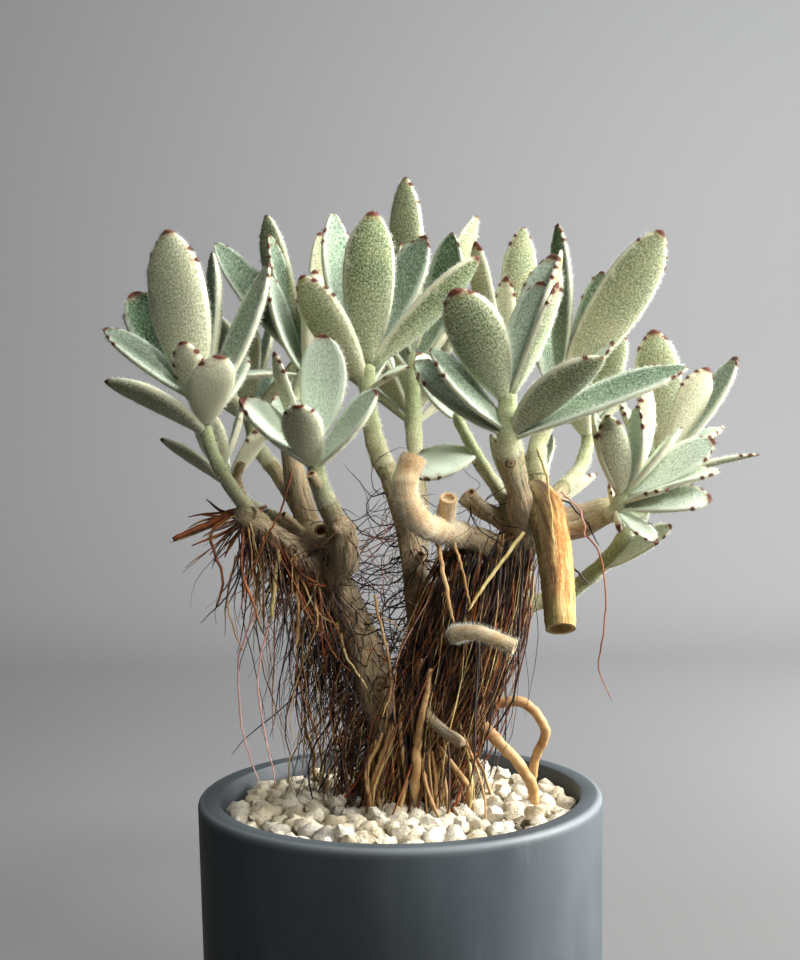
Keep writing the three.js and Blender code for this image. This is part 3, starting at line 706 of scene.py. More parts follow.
# %% [markdown]
# ## One leaf
# A leaf is a thick blade, shaped like a shallow boat: a rounded keel below, a soft channel
# above, narrow at its foot and widest past the middle, with a few blunt teeth by its tip.
# It is made once, as a pattern: the rings of a UV sphere are moved to the leaf's stations,
# so the skin stays closed. The pattern is one unit long, one half width wide and one
# thickness deep, and each copy is then stretched and bowed to its place on the plant.

# %% Stations and section of the leaf
stations = np.array([0, .03, .08, .15, .24, .33, .43, .53, .62, .69, *np.linspace(.74, .985, 15), 1.0])
section = np.array([
    (1, .42), (.97, .2), (.85, -.1), (.6, -.36), (.3, -.49), (0, -.53), (-.3, -.49), (-.6, -.36),
    (-.85, -.1), (-.97, .2), (-1, .42), (-.92, .55), (-.66, .47), (-.34, .36), (0, .31), (.34, .36),
    (.66, .47), (.92, .55)])
grown_width = ([0, .03, .08, .16, .3, .45, .55, .65, .75, .82, .88, .93, .965, .985, 1],
               [.2, .25, .36, .55, .81, .96, 1, .99, .92, .81, .64, .44, .28, .16, 0])
young_width = ([0, .04, .1, .25, .42, .6, .72, .82, .9, .95, .985, 1],
               [.3, .36, .5, .78, .95, 1, .95, .8, .58, .4, .2, 0])
blade_depth = ([0, .03, .2, .46, .7, .84, .95, .985, 1], [.5, .6, .82, .98, 1, .8, .5, .3, .1])

let_go()
bpy.ops.mesh.primitive_uv_sphere_add(segments=len(section), ring_count=len(stations) - 1, radius=1)
pattern = bpy.context.object
pattern.name = "leaf_pattern"
corner_angle = 2 * math.pi / len(section)
pattern_ring = []
pattern_corner = []
for vertex in pattern.data.vertices:
    ring = round(math.acos(max(-1, min(1, -vertex.co.z))) / math.pi * (len(stations) - 1))
    corner = round(math.atan2(vertex.co.y, vertex.co.x) / corner_angle) % len(section)
    pattern_ring.append(ring)
    pattern_corner.append(corner)
pattern_ring = np.array(pattern_ring)
pattern_corner = np.array(pattern_corner)
pattern_along = stations[pattern_ring]
pattern_across = section[pattern_corner, 0]
pattern_up = section[pattern_corner, 1]
end_ring = (pattern_ring == 0) | (pattern_ring == len(stations) - 1)
pattern_across = np.where(end_ring, 0, pattern_across)
pattern_up = np.where(end_ring, 0, pattern_up)
pattern.data.calc_loop_triangles()
pattern_triangles = np.array([t.vertices[:] for t in pattern.data.loop_triangles])
rim_weight = np.clip((np.abs(pattern_across) - 0.84) / 0.12, 0, 1)
upper_side = np.clip((pattern_up - (0.18 + 0.26 * np.abs(pattern_across))) / 0.1 + 0.5, 0, 1)
print("leaf pattern:", len(pattern.data.vertices), "vertices,", len(pattern_triangles), "triangles")

# %% [markdown]
# The UV sphere's rings run from its lowest pole, which becomes the leaf's foot. Its corners
# run anticlockwise seen from above, from the right rim over the back. The section's list
# runs the other way round, from the right rim down under the keel. `across` is taken to the
# side that makes up for this, so that the skin faces outwards.

# %% Bend a leaf into its place
leaf_bow = math.tan(math.radians(24) / 4) / 2


def leaf_points(start, tip, width, face, axis, draw):
    """The leaf's vertices in millimetres, with what its finish has to know of each one."""
    chord = tip - start
    length = float(np.linalg.norm(chord))
    along = chord / length
    if face is None:
        up = unit(axis - along * axis.dot(along))
    else:
        front = np.array([0.0, -1.0, 0.0])
        front = unit(front - along * front.dot(along))
        inner = np.cross(front, along) * (-1 if along[0] < 0 else 1)
        up = front * math.cos(math.radians(face)) + inner * math.sin(math.radians(face))
    across = np.cross(along, up)
    grown = min(max((length - 23) / 25, 0), 1)
    half = (np.interp(pattern_along, *grown_width) * grown
            + np.interp(pattern_along, *young_width) * (1 - grown))
    half = half * width / 2
    depth = np.interp(pattern_along, *blade_depth) * max(0.25 * width, 2.2)
    sag = leaf_bow * length * (2 * along[2] ** 2 - 1)
    s = pattern_along
    wave = (draw.random() - 0.5) * 0.07 * length
    roll = (draw.random() - 0.5) * 0.5 * s
    ink = np.zeros(len(s))
    scallop = np.zeros(len(s))
    side = np.sign(pattern_across)
    from_tip = (1 - s) * length
    from_rim = (1 - np.abs(pattern_across)) * half
    spacing = 3.4 + 0.9 * draw.random()
    most = int(draw.choice(4, p=(0.22, 0.26, 0.3, 0.22)))
    for hand in (-1, 1):
        for k in range(most + int(draw.random() < 0.3)):
            place = spacing * (k + 1) + 0.8 * (draw.random() - 0.5)
            radius = 0.62 + 0.42 * draw.random()
            seen = draw.random() < 0.8
            own_rim = np.where(side == hand, rim_weight, 0)
            scallop += own_rim * 0.38 * np.exp(-((from_tip - place) / 1.1) ** 2)
            reach = np.hypot(from_tip - place, from_rim)
            if seen:
                ink = np.maximum(ink, np.where(side == hand, np.clip(1 - reach / (2 * radius), 0, 1), 0))
    cap = (0.6, 1.2, 1.8, 2.4)[int(draw.choice(4, p=(0.25, 0.35, 0.25, 0.15)))]
    if width >= 18:
        cap = max(cap, 2.1)
    ink = np.maximum(ink, np.clip(1 - from_tip / (2 * cap), 0, 1))
    x = pattern_across * half + side * scallop
    y = pattern_up * depth
    x, y = x * np.cos(roll) - y * np.sin(roll), x * np.sin(roll) + y * np.cos(roll)
    bend = 4 * s * (1 - s)
    points = (start + np.outer(s * length, along) + np.outer(x + wave * bend, across)
              + np.outer(y - bend * sag, up))
    return points, ink, pattern_across * half, s * length, along, grown


def shoot_leaves(shoot, draw):
    line = smooth_line(shoot["path"], 80)
    total = line_length(line)
    top = line[-1]
    tangent = unit(line[-1] - line[-2])
    axis = unit(tangent * 0.5 + np.array([0, 0, 0.5]))
    leaves = []
    for below, right, back, rise, width, *face in shoot["rows"]:
        share = (1 - below / total) * (len(line) - 1)
        k = int(share)
        start = line[k] + (line[min(k + 1, len(line) - 1)] - line[k]) * (share - k)
        tip = top + np.array([right, back, rise])
        outward = tip - start
        outward[2] = 0
        start = start + unit(outward) * 0.45 * shoot["radius"][1]
        leaves.append((leaf_points(start, tip, width, face[0] if face else None, axis, draw), width))
    return leaves


# %% [markdown]
# ## Wool
# Every leaf and young stem is covered with short white hairs, which soften it and give it
# its bright rim against the light. Particle hair would be lost on export, so each hair is a
# thin closed spike of four triangles, about a millimetre long, that leans towards the
# leaf's tip.

# %% Grow hairs on a skin
def in_order(points, faces):
    """The triangles in the order of their places, each from its own lowest corner on.

    The sphere and inset operators don't number their faces the same way in each run, and a
    hair's place is drawn by the number of its face.
    """
    slant = points @ np.array([0.83, 0.47, 0.31])
    first = np.argmin(slant[faces], axis=1)
    corners = (first[:, None] + np.arange(3)) % 3
    faces = np.take_along_axis(faces, corners, axis=1)
    middles = points[faces].mean(axis=1).round(4)
    return faces[np.lexsort(middles.T)]


def skin_normals(points, faces):
    a, b, c = (points[faces[:, k]] for k in range(3))
    flat = np.cross(b - a, c - a)
    normals = np.zeros_like(points)
    for k in range(3):
        np.add.at(normals, faces[:, k], flat)
    size = np.linalg.norm(normals, axis=1, keepdims=True)
    return normals / np.maximum(size, 1e-12), np.linalg.norm(flat, axis=1) / 2


def hairs_on(points, faces, density, length, lean, draw, ink=None, edge=None, edge_density=0.0,
             base=0.075):
    """Spikes in millimetres: their corners, four for each hair, and the ink at each corner."""
    faces = in_order(points, faces)
    normals, areas = skin_normals(points, faces)
    wish = areas * density
    if edge is not None:
        wish = wish + areas * edge_density * edge[faces].mean(axis=1)
    count = int(wish.sum())
    chosen = draw.choice(len(faces), count, p=wish / wish.sum())
    u, v = draw.random(count), draw.random(count)
    over = u + v > 1
    u, v = np.where(over, 1 - u, u), np.where(over, 1 - v, v)
    w = 1 - u - v
    tri = faces[chosen]

    def mixed(values):
        return (values[tri[:, 0]] * w[:, None] + values[tri[:, 1]] * u[:, None]
                + values[tri[:, 2]] * v[:, None])

    foot = mixed(points)
    normal = mixed(normals)
    direction = normal + lean + (draw.random((count, 3)) - 0.5) * 0.9
    direction /= np.linalg.norm(direction, axis=1, keepdims=True)
    flat = np.cross(direction, draw.random((count, 3)) - 0.5)
    flat /= np.maximum(np.linalg.norm(flat, axis=1, keepdims=True), 1e-9)
    other = np.cross(direction, flat)
    corners = np.empty((count, 4, 3))
    sunk = foot - normal * 0.08
    for k in range(3):
        turn = 2 * math.pi * k / 3
        corners[:, k] = sunk + base * (flat * math.cos(turn) + other * math.sin(turn))
    reach = length * (0.55 + 0.7 * draw.random(count))
    corners[:, 3] = foot + direction * reach[:, None]
    dark = np.zeros(count) if ink is None else (
        ink[tri[:, 0]] * w + ink[tri[:, 1]] * u + ink[tri[:, 2]] * v)
    return corners.reshape(-1, 3), np.repeat(dark, 4)


def wool_piece(name, parts):
    corners = np.concatenate([part[0] for part in parts]) * mm
    dark = np.concatenate([part[1] for part in parts])
    count = len(corners) // 4
    base = np.arange(count)[:, None] * 4
    spike = ((0, 1, 3), (1, 2, 3), (2, 0, 3), (2, 1, 0))
    faces = np.concatenate([base + np.array(corner) for corner in spike])
    mesh = bpy.data.meshes.new(name)
    mesh.vertices.add(len(corners))
    mesh.vertices.foreach_set("co", corners.astype(np.float32).ravel())
    mesh.loops.add(faces.size)
    mesh.loops.foreach_set("vertex_index", faces.ravel().astype(np.int32))
    mesh.polygons.add(len(faces))
    mesh.polygons.foreach_set("loop_start", np.arange(0, faces.size, 3, dtype=np.int32))
    mesh.polygons.foreach_set("loop_total", np.full(len(faces), 3, dtype=np.int32))
    mesh.update(calc_edges=True)
    mesh.validate()
    store(mesh, "ink", dark)
    return placed(name, mesh)


# %% [markdown]
# ## Leaf finish
# The blade is olive green under a felt of white hairs, so it looks frosted: hair and green
# mix in fine speckles that run along the leaf. The channelled upper side is bluer and
# smoother, the foot is whiter, young leaves are nearly cream, and the tip and teeth are
# dark red-brown. The rim is whiter too, partly for its denser wool and partly as a painted
# glow of hairs lit from behind. The pattern reads each leaf's own skin coordinates, so it
# follows the blade wherever it points.

# %% Woolly leaf
leaf_finish, tree, shader = finish_named("woolly_leaf", roughness=0.85)
skin = own_value(tree, "skin", "Vector")
ink = own_value(tree, "ink")
upper = own_value(tree, "upper")
along = own_value(tree, "along")
rim_wool_and_glow = own_value(tree, "rim_wool_and_glow")
tone = own_value(tree, "tone")
youth = own_value(tree, "youth")
patch = speckle(tree, skin, 110, 3, 0.6)
fleck = speckle(tree, stretched(tree, skin, (1, 0.75, 1)), 1500, 3, 0.8)
streak = speckle(tree, stretched(tree, skin, (1, 0.3, 1)), 2300, 2, 0.7)
vein = speckle(tree, stretched(tree, skin, (1, 0.1, 1)), 700, 2, 0.5)
lot = maths(tree, "SUBTRACT", tone, 0.5)
under = ramp(tree, plus(tree, patch, lot, 0.3), [
    (0.3, tint(50, 84, 22)), (0.5, tint(78, 104, 34)), (0.72, tint(114, 112, 52))])
over = ramp(tree, patch, [(0.3, tint(36, 70, 34)), (0.55, tint(54, 90, 48)), (0.75, tint(76, 108, 66))])
green = blend_colours(tree, upper, under, over)
white = blend_colours(tree, upper, tint(226, 224, 192), tint(214, 226, 206))
felt = blend_colours(tree, maths(tree, "MULTIPLY", upper, 0.6), fleck, streak)
cover = maths(tree, "ADD", maths(tree, "MULTIPLY", between(tree, felt, 0.4, 0.68), 0.9),
              maths(tree, "MULTIPLY", between(tree, along, 0.6, 0.0), 0.4))
# the rim is whitened partly for its denser wool and partly as a painted glow of hairs lit from behind
cover = plus(tree, cover, rim_wool_and_glow, 1.1)
cover = plus(tree, cover, youth, 0.95)
cover = plus(tree, cover, lot, 0.36)
cover = maths(tree, "ADD", cover, maths(tree, "MULTIPLY", between(tree, vein, 0.3, 0.8), 0.12))
cover = maths(tree, "SUBTRACT", cover, maths(tree, "MULTIPLY", upper, 0.12))
cover = maths(tree, "MULTIPLY", cover, 0.84, clamp=True)
base = blend_colours(tree, cover, green, white)
ragged = plus(tree, ink, maths(tree, "SUBTRACT", fleck, 0.5), 0.3)
spot = between(tree, ragged, 0.44, 0.6)
blush = between(tree, ink, 0.02, 0.5)
base = blend_colours(tree, maths(tree, "MULTIPLY", blush, 0.45), base, tint(140, 92, 52))
base = blend_colours(tree, maths(tree, "MULTIPLY", spot, 0.94), base,
                     ramp(tree, fleck, [(0.35, tint(50, 16, 12)), (0.65, tint(112, 44, 28))]))
tree.links.new(base, shader.inputs["Base Color"])
shader.inputs["Sheen Weight"].default_value = 0.25
shader.inputs["Sheen Roughness"].default_value = 0.5
shader.inputs["Sheen Tint"].default_value = (0.9, 0.95, 0.85, 1)
shader.inputs["Specular IOR Level"].default_value = 0.2
bumps(tree, shader, felt, 0.5, 0.35 * mm)
print("leaf finish:", leaf_finish.name)

# %% [markdown]
# The hairs themselves are clear and white, and let some light through, so they glow where
# the light comes from behind. On the dark teeth they are red-brown.

# %% White hair
hair_finish, tree, shader = finish_named("white_hair", roughness=0.55)
place = own_place(tree)
ink = own_value(tree, "ink")
shade = speckle(tree, place, 260, 2, 0.5)
base = ramp(tree, shade, [(0.3, tint(226, 232, 216)), (0.7, tint(248, 250, 242))])
base = layer(tree, base, ink, (0.35, 0.6), tint(96, 44, 30))
tree.links.new(base, shader.inputs["Base Color"])
glow = wire(tree, "ShaderNodeBsdfTranslucent", {"Color": base})
both = wire(tree, "ShaderNodeMixShader", {0: 0.35, 1: shader.outputs["BSDF"], 2: glow.outputs["BSDF"]})
tree.links.new(both.outputs["Shader"], tree.nodes["Material Output"].inputs["Surface"])
print("hair finish:", hair_finish.name)

# %% [markdown]
# The green end of a stem is as woolly as the leaves, pale, and marked by rings where old
# leaves stood.

# %% Green stem
stem_finish, tree, shader = finish_named("green_stem", roughness=0.85)
place = own_place(tree)
patch = speckle(tree, place, 120, 3, 0.6)
fleck = speckle(tree, place, 1900, 3, 0.8)
age = own_value(tree, "age")
base = ramp(tree, patch, [(0.3, tint(104, 124, 52)), (0.5, tint(132, 146, 76)), (0.7, tint(150, 146, 88))])
base = blend_colours(tree, maths(tree, "MULTIPLY", age, 0.8), base, tint(168, 150, 112))
base = layer(tree, base, fleck, (0.36, 0.66), tint(212, 216, 184), 0.8)
tree.links.new(base, shader.inputs["Base Color"])
shader.inputs["Sheen Weight"].default_value = 0.25
shader.inputs["Specular IOR Level"].default_value = 0.2
bumps(tree, shader, fleck, 0.5, 0.4 * mm)
print("stem finish:", stem_finish.name)

# %% [markdown]
# ## Leafy shoots
# Each shoot is now put together: its green stem, a copy of the leaf pattern for each leaf,
# and its wool. Stem and leaves are joined in one piece, which stands for the shoot's solid.

# %% Build the shoots
hair_density = 0.16
rim_hair_density = 2.3
hair_length = 1.2
shoot_steps = 60
all_hairs = 0
leaf_triangles = 0
for number, shoot in enumerate(shoots):
    draw = np.random.default_rng(100 + number)
    hair_draw = np.random.default_rng(500 + number)
    line, radii = thick_line(shoot, shoot_steps)
    first = int(shoot["bare"] * (len(line) - 1))
    green_line = line[first:]
    steps = np.arange(len(green_line))
    ripple = 1 + 0.05 * np.sin(steps * 0.9) + 0.03 * (draw.random(len(green_line)) - 0.5)
    close = np.minimum(1, (len(green_line) - 1 - steps) * 0.3 + 0.25)
    green_radii = radii[first:] * ripple * close
    stem = tubes("stem", [(green_line, green_radii)], corners=4)
    stem.data.materials.append(stem_finish)
    stem_points, stem_faces = skin_of(stem)
    nearest = np.array([int(np.argmin(((green_line - p) ** 2).sum(axis=1))) for p in stem_points])
    age = np.clip(1 - nearest / (0.55 * len(green_line)), 0, 1)
    store(stem.data, "age", age)
    wool = [hairs_on(stem_points, stem_faces, 1.0, hair_length, np.array([0, 0, 0.3]), hair_draw)]
    blades = []
    for (points, ink, skin_x, skin_y, along, grown), width in shoot_leaves(shoot, draw):
        blade = placed("blade", pattern.data.copy())
        mesh = blade.data
        mesh.vertices.foreach_set("co", (points * mm).astype(np.float32).ravel())
        tone = draw.random()
        youth = (1 - grown) * 0.85 + (0.45 if draw.random() < 0.14 else 0)
        skin = np.column_stack([skin_x, skin_y + 200 * tone, 40 * upper_side]) * mm
        values = {"ink": ink, "upper": upper_side, "along": pattern_along, "rim_wool_and_glow": rim_weight,
                  "tone": np.full(len(points), tone), "youth": np.full(len(points), youth)}
        for key, value in values.items():
            store(mesh, key, value)
        store(mesh, "skin", skin, "FLOAT_VECTOR")
        mesh.polygons.foreach_set("use_smooth", np.ones(len(mesh.polygons), bool))
        mesh.materials.clear()
        mesh.materials.append(leaf_finish)
        mesh.update()
        blades.append(blade)
        wool.append(hairs_on(points, pattern_triangles, hair_density, hair_length, along * 0.4,
                             hair_draw, ink, rim_weight, rim_hair_density, base=0.085))
    leafy = joined(shoot["name"] + "_leaves", [*blades, stem])
    leaf_triangles += triangles(leafy)
    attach(leafy, "root")
    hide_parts(shoot["name"])
    fuzz = wool_piece(shoot["name"] + "_wool", wool)
    fuzz.data.materials.append(hair_finish)
    all_hairs += len(fuzz.data.vertices) // 4
    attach(fuzz, "root")
print("leaf triangles:", leaf_triangles, "hairs:", all_hairs, "hair triangles:", all_hairs * 4)
bpy.data.objects.remove(pattern)

# %% [markdown]
# ## Bark
# The bare stems have thin tan bark with fine lengthwise cracks, grey where it is old, and
# greenish under the shoots, with ringed scars where leaves fell. The stems are round bodies
# along their lines; they are joined, remeshed to one skin so that the forks flow into each
# other, and smoothed. Each vertex then learns where it lies along and round its own stem,
# so the grain in the finish follows every branch.

# %% Join the stems into one skin
wood_lines = []
for stem in stems:
    wood_lines.append(thick_line(stem, 40))
for shoot in shoots:
    line, radii = thick_line(shoot, shoot_steps)
    last = int(shoot["bare"] * (len(line) - 1)) + 2
    wood_lines.append((line[:last], radii[:last]))
wood_draw = np.random.default_rng(31)
swell_places = 9
shaken = []
for line, radii in wood_lines:
    swell = np.interp(np.arange(len(line)), np.linspace(0, len(line) - 1, swell_places),
                      1 + 0.16 * (wood_draw.random(swell_places) - 0.5))
    shaken.append((line, radii * swell))
bark = tubes("bare_stems", shaken, corners=5)
print("stems before joining:", triangles(bark), "triangles")

# %% [markdown]
# Where side branches broke off, balls are sunk into the stems and show as low swellings.

# %% Add swellings and remesh
knobs = [
    (-19, -15, 229, 6.4), (-28, -9, 232, 7.0), (50, -7, 244, 6.8), (8, 6, 214, 5.6),
    (16, 2, 158, 7.0), (4, 5, 150, 7.6), (44, -2, 231, 7.2), (-53, -22, 246, 4.6)]
balls = []
for x, y, z, r in knobs:
    let_go()
    bpy.ops.mesh.primitive_uv_sphere_add(
        segments=16, ring_count=10, radius=r * mm, location=(x * mm, y * mm, z * mm))
    balls.append(settle(bpy.context.object))
bark = joined("bare_stems", [bark, *balls])
skin = bark.modifiers.new("one_skin", "REMESH")
skin.mode = "VOXEL"
skin.voxel_size = 0.88 * mm
skin.use_smooth_shade = True
flow = bark.modifiers.new("flow", "SMOOTH")
flow.factor = 0.6
flow.iterations = 5
apply_all(bark)
print("bare stems:", triangles(bark), "triangles")

# %% Give each vertex its place on its stem
samples = []
for number, (line, radii) in enumerate(wood_lines):
    green_end = number >= len(stems)
    run = 0.0
    for k in range(len(line)):
        if k:
            run += float(np.linalg.norm(line[k] - line[k - 1]))
        ahead = heading_at(line, k)
        aside = unit(np.cross(ahead, (0.31, 0.9, 0.17)))
        left = float(np.linalg.norm(line[-1] - line[k]))
        samples.append((line[k], run, ahead, aside, max(0.0, 1 - left / 15) if green_end else 0.0))
tree_of_samples = kdtree.KDTree(len(samples))
for k, sample in enumerate(samples):
    tree_of_samples.insert(Vector(sample[0]), k)
tree_of_samples.balance()


def grain_of(piece):
    """Stores, for each vertex, its place round and along the nearest stem."""
    grain = np.empty((len(piece.data.vertices), 3), np.float32)
    fresh = np.empty(len(piece.data.vertices), np.float32)
    for vertex in piece.data.vertices:
        point = np.array(vertex.co) / mm
        _, k, _ = tree_of_samples.find(Vector(point))
        centre, run, ahead, aside, fresh[vertex.index] = samples[k]
        off = point - centre
        round_it = off - ahead * off.dot(ahead)
        other = np.cross(ahead, aside)
        grain[vertex.index] = (round_it.dot(aside), round_it.dot(other), (run + off.dot(ahead)) * 0.16)
    store(piece.data, "grain", grain * mm, "FLOAT_VECTOR")
    store(piece.data, "fresh", fresh)


grain_of(bark)
points = np.array([v.co for v in bark.data.vertices])
normals = np.array([v.normal for v in bark.data.vertices])
grain = np.empty(len(points) * 3, np.float32)
bark.data.attributes["grain"].data.foreach_get("vector", grain)
grain = grain.reshape(-1, 3)
lift = np.array([noise.noise(Vector(g) * 300) * 0.5 + noise.noise(Vector(g) * 1200) * 0.14 for g in grain])
bark.data.vertices.foreach_set("co", (points + normals * lift[:, None] * mm).astype(np.float32).ravel())
bark.data.update()
print("bark grain laid on", len(points), "vertices")

# %% [markdown]
# The bark's colour comes from the same places: tan with darker cracks along the stem, grey
# bloom in patches, greener the nearer it is to the leaves, and a little wool left on it.
# From 185 mm down, among the roots, it is painted darker: painted shade.

# %% Bark finish
scar_places = [
    (-7, -6, 182, 2.4), (-37, -20, 234, 1.2), (44, -12, 253, 1.7), (52, -13, 250, 1.8),
    (-24, -18, 229, 1.6), (12, 2, 196, 1.8), (41, -31, 263, 1.5)]
skin_tree = kdtree.KDTree(len(bark.data.vertices))
for vertex in bark.data.vertices:
    skin_tree.insert(vertex.co, vertex.index)
skin_tree.balance()
scars = [(*(skin_tree.find(Vector((x, y, z)) * mm)[0] / mm), size) for x, y, z, size in scar_places]
print("scars:", [tuple(round(float(v), 1) for v in scar) for scar in scars])
bark_finish, tree, shader = finish_named("tan_bark", roughness=0.88)
place = own_place(tree)
grain = own_value(tree, "grain", "Vector")
fibre = speckle(tree, grain, 1100, 4, 0.7)
crack = speckle(tree, grain, 520, 3, 0.6)
patch = speckle(tree, place, 70, 4, 0.6)
dust = speckle(tree, place, 1500, 3, 0.75)
height = wire(tree, "ShaderNodeSeparateXYZ", {"Vector": place}).outputs["Z"]
base = ramp(tree, fibre, [
    (0.28, tint(128, 104, 74)), (0.5, tint(166, 144, 110)), (0.72, tint(198, 180, 148))])
base = blend_colours(tree, between(tree, patch, 0.48, 0.66), base,
                     ramp(tree, fibre, [(0.3, tint(112, 98, 76)), (0.7, tint(160, 150, 126))]))
base = layer(tree, base, crack, (0.38, 0.28), tint(70, 52, 34), 0.7)
fresh = own_value(tree, "fresh")
base = blend_colours(tree, maths(tree, "MULTIPLY", fresh, 0.65), base,
                     ramp(tree, dust, [(0.35, tint(118, 120, 66)), (0.65, tint(170, 172, 124))]))
base = layer(tree, base, dust, (0.54, 0.7), tint(222, 214, 190), 0.4)
# painted shade: the bark is darkened from 185 mm down, where it stands among the roots
painted_shade_low = between(tree, height, 0.185, 0.14)
base = blend_colours(tree, maths(tree, "MULTIPLY", painted_shade_low, 0.6), base, tint(74, 54, 38))
wavy = maths(tree, "MULTIPLY", maths(tree, "SUBTRACT", dust, 0.5), 1.2 * mm)
for x, y, z, size in scars:
    apart = wire(tree, "ShaderNodeVectorMath", {0: place, 1: (x * mm, y * mm, z * mm)},
                 operation="DISTANCE").outputs["Value"]
    apart = maths(tree, "ADD", apart, wavy)
    for outer, inner, colour in ((size + 0.9, size + 0.4, tint(84, 62, 38)),
                                 (size, size - 0.3, tint(150, 128, 92)),
                                 (size * 0.5, size * 0.3, tint(96, 72, 44))):
        base = layer(tree, base, apart, (outer * mm, inner * mm), colour)
tree.links.new(base, shader.inputs["Base Color"])
relief = maths(tree, "ADD", maths(tree, "MULTIPLY", crack, 1.4), fibre)
bumps(tree, shader, relief, 0.8, 0.7 * mm)
bark.data.materials.clear()
bark.data.materials.append(bark_finish)
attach(bark, "root")
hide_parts("trunk")
print("bark finish:", bark_finish.name)

# %% [markdown]
# ## Stubs and the cut branch
# Four old shoots were cut: a hook-shaped one that is woolly and cream, a short one, one with
# a hollow end low in the roots, and the thick one that hangs at the front right, tan and
# striped, with a hollow end. Each is a round body along its line. Its end face is inset for
# the rind and pushed in for the pith.

# %% Round stubs with worked ends
def stub(name, plan, steps, end_inset, end_depth, wobble, seed, corners=6):
    draw = np.random.default_rng(seed)
    line, radii = thick_line(plan, steps)
    radii = radii * (1 + wobble * (draw.random(steps) - 0.5))
    piece = tubes(name, [(line, radii)], corners=corners)
    end = Vector(line[-1]) * mm
    ahead = Vector(unit(line[-1] - line[-2]))
    select_where(piece, "FACE", lambda p, f: (
        (p - end).length < radii[-1] * mm and f.normal.dot(ahead) > 0.9))
    bpy.ops.mesh.dissolve_faces()
    bpy.ops.mesh.inset(thickness=end_inset * mm)
    push = tuple(-ahead * end_depth * mm)
    bpy.ops.mesh.extrude_region_move(TRANSFORM_OT_translate={"value": push})
    bpy.ops.object.mode_set(mode="OBJECT")
    grain = np.empty((len(piece.data.vertices), 3), np.float32)
    aside = unit(np.cross(line[-1] - line[0], (0.3, 0.9, 0.2)))
    for vertex in piece.data.vertices:
        point = np.array(vertex.co) / mm
        k = int(np.argmin(np.linalg.norm(line - point, axis=1)))
        off = point - line[k]
        other = np.cross(heading_at(line, k), aside)
        run = k * line_length(line) / (steps - 1)
        grain[vertex.index] = (off.dot(aside), off.dot(other), run * 0.12)
    store(piece.data, "grain", grain * mm, "FLOAT_VECTOR")
    # painted shade: this value grows with depth in the hollow end, so the finishes darken the pith the deeper
    # it lies
    pith_and_hollow_shade = []
    for vertex in piece.data.vertices:
        off = vertex.co - end
        sunk = -off.dot(ahead)
        depth = max(0.0, sunk) / mm if off.length < radii[-1] * 0.82 * mm else 0.0
        beside = (off - ahead * off.dot(ahead)).length
        inside = beside < radii[-1] * 0.86 * mm and sunk < end_depth * 1.2 * mm
        pith_and_hollow_shade.append(min(1.0, 0.35 + depth / end_depth) if inside else 0.0)
    store(piece.data, "pith_and_hollow_shade", pith_and_hollow_shade)
    pick(piece)
    bpy.ops.object.shade_smooth_by_angle(angle=math.radians(50))
    print(name + ":", triangles(piece), "triangles")
    return piece


hook = stub("hook_stub", hook_stub, 46, 1.2, 1.4, 0.16, 41)
short = stub("short_stub", short_stub, 18, 0.9, 2.2, 0.12, 42)
low = stub("hollow_stub", hollow_stub, 40, 0.8, 3.0, 0.14, 43)
hanging = stub("cut_branch", cut_branch, 60, 1.15, 9.0, 0.06, 44, corners=12)

# %% [markdown]
# At the foot of the front left shoot stand two stout pegs with open scars, and seven more
# pegs of old leaf stalks and twigs end in small open rings.

# %% Pegs with open ends
pegs = [
    {"radius": (5.0, 4.0), "path": [(-18, -16, 226), (-19, -20, 233), (-20, -23.5, 240), (-20.5, -25, 245)]},
    {"radius": (3.2, 2.6), "path": [(-23, -14, 234), (-25, -20, 238), (-26.5, -24, 240.5)]},
    {"radius": (3.0, 2.5), "path": [(-47, -19, 243), (-50, -21.5, 246), (-51, -24.5, 247.5)]},
    {"radius": (2.0, 1.7), "path": [(-53, -21, 249), (-55, -21, 255), (-56, -21, 260), (-54, -22, 265)]},
    {"radius": (1.6, 1.4), "path": [(-33, -11, 238), (-37, -16, 243), (-40, -19, 246)]},
    {"radius": (2.4, 2.0), "path": [(36, -5, 243), (31, -16, 248), (27, -22, 253)]},
    {"radius": (2.6, 2.1), "path": [(43, -7, 247), (44, -12, 253), (44, -16, 257)]},
    {"radius": (2.2, 1.8), "path": [(-26, -36, 257), (-27, -40, 259), (-28.5, -43, 262)]},
    {"radius": (1.9, 1.6), "path": [(6, 3, 224), (7, -6, 226), (9, -11, 230)]},
]
peg_pieces = []
for k, peg in enumerate(pegs):
    end_radius = peg["radius"][1]
    peg_pieces.append(stub("peg", peg, 12, end_radius * 0.34, end_radius * 0.7, 0.14, 60 + k, corners=3))
peg_stubs = joined("old_pegs", peg_pieces)
print("pegs:", triangles(peg_stubs), "triangles")

# %% [markdown]
# The woolly stubs are cream to orange-tan where the bark is thin, and the pegs grey-tan. The
# cut branch shows stripes of straw, brown and a little green; its left half is painted darker
# brown and its right half brighter orange-tan, painted shade and light from the right, with a
# dark seam between them. The rind of a cut end is paler than its pith, and the pith is painted
# darker the deeper it lies in the hollow end: painted shade.

# %% Finishes of the stubs
cream_bark, tree, shader = finish_named("cream_bark", roughness=0.85)
place = own_place(tree)
grain = own_value(tree, "grain", "Vector")
patch = speckle(tree, place, 110, 4, 0.6)
fibre = speckle(tree, grain, 1500, 3, 0.7)
base = ramp(tree, patch, [(0.3, tint(176, 140, 92)), (0.5, tint(208, 178, 132)), (0.7, tint(226, 212, 180))])
base = layer(tree, base, fibre, (0.5, 0.3), tint(140, 104, 66), 0.5)
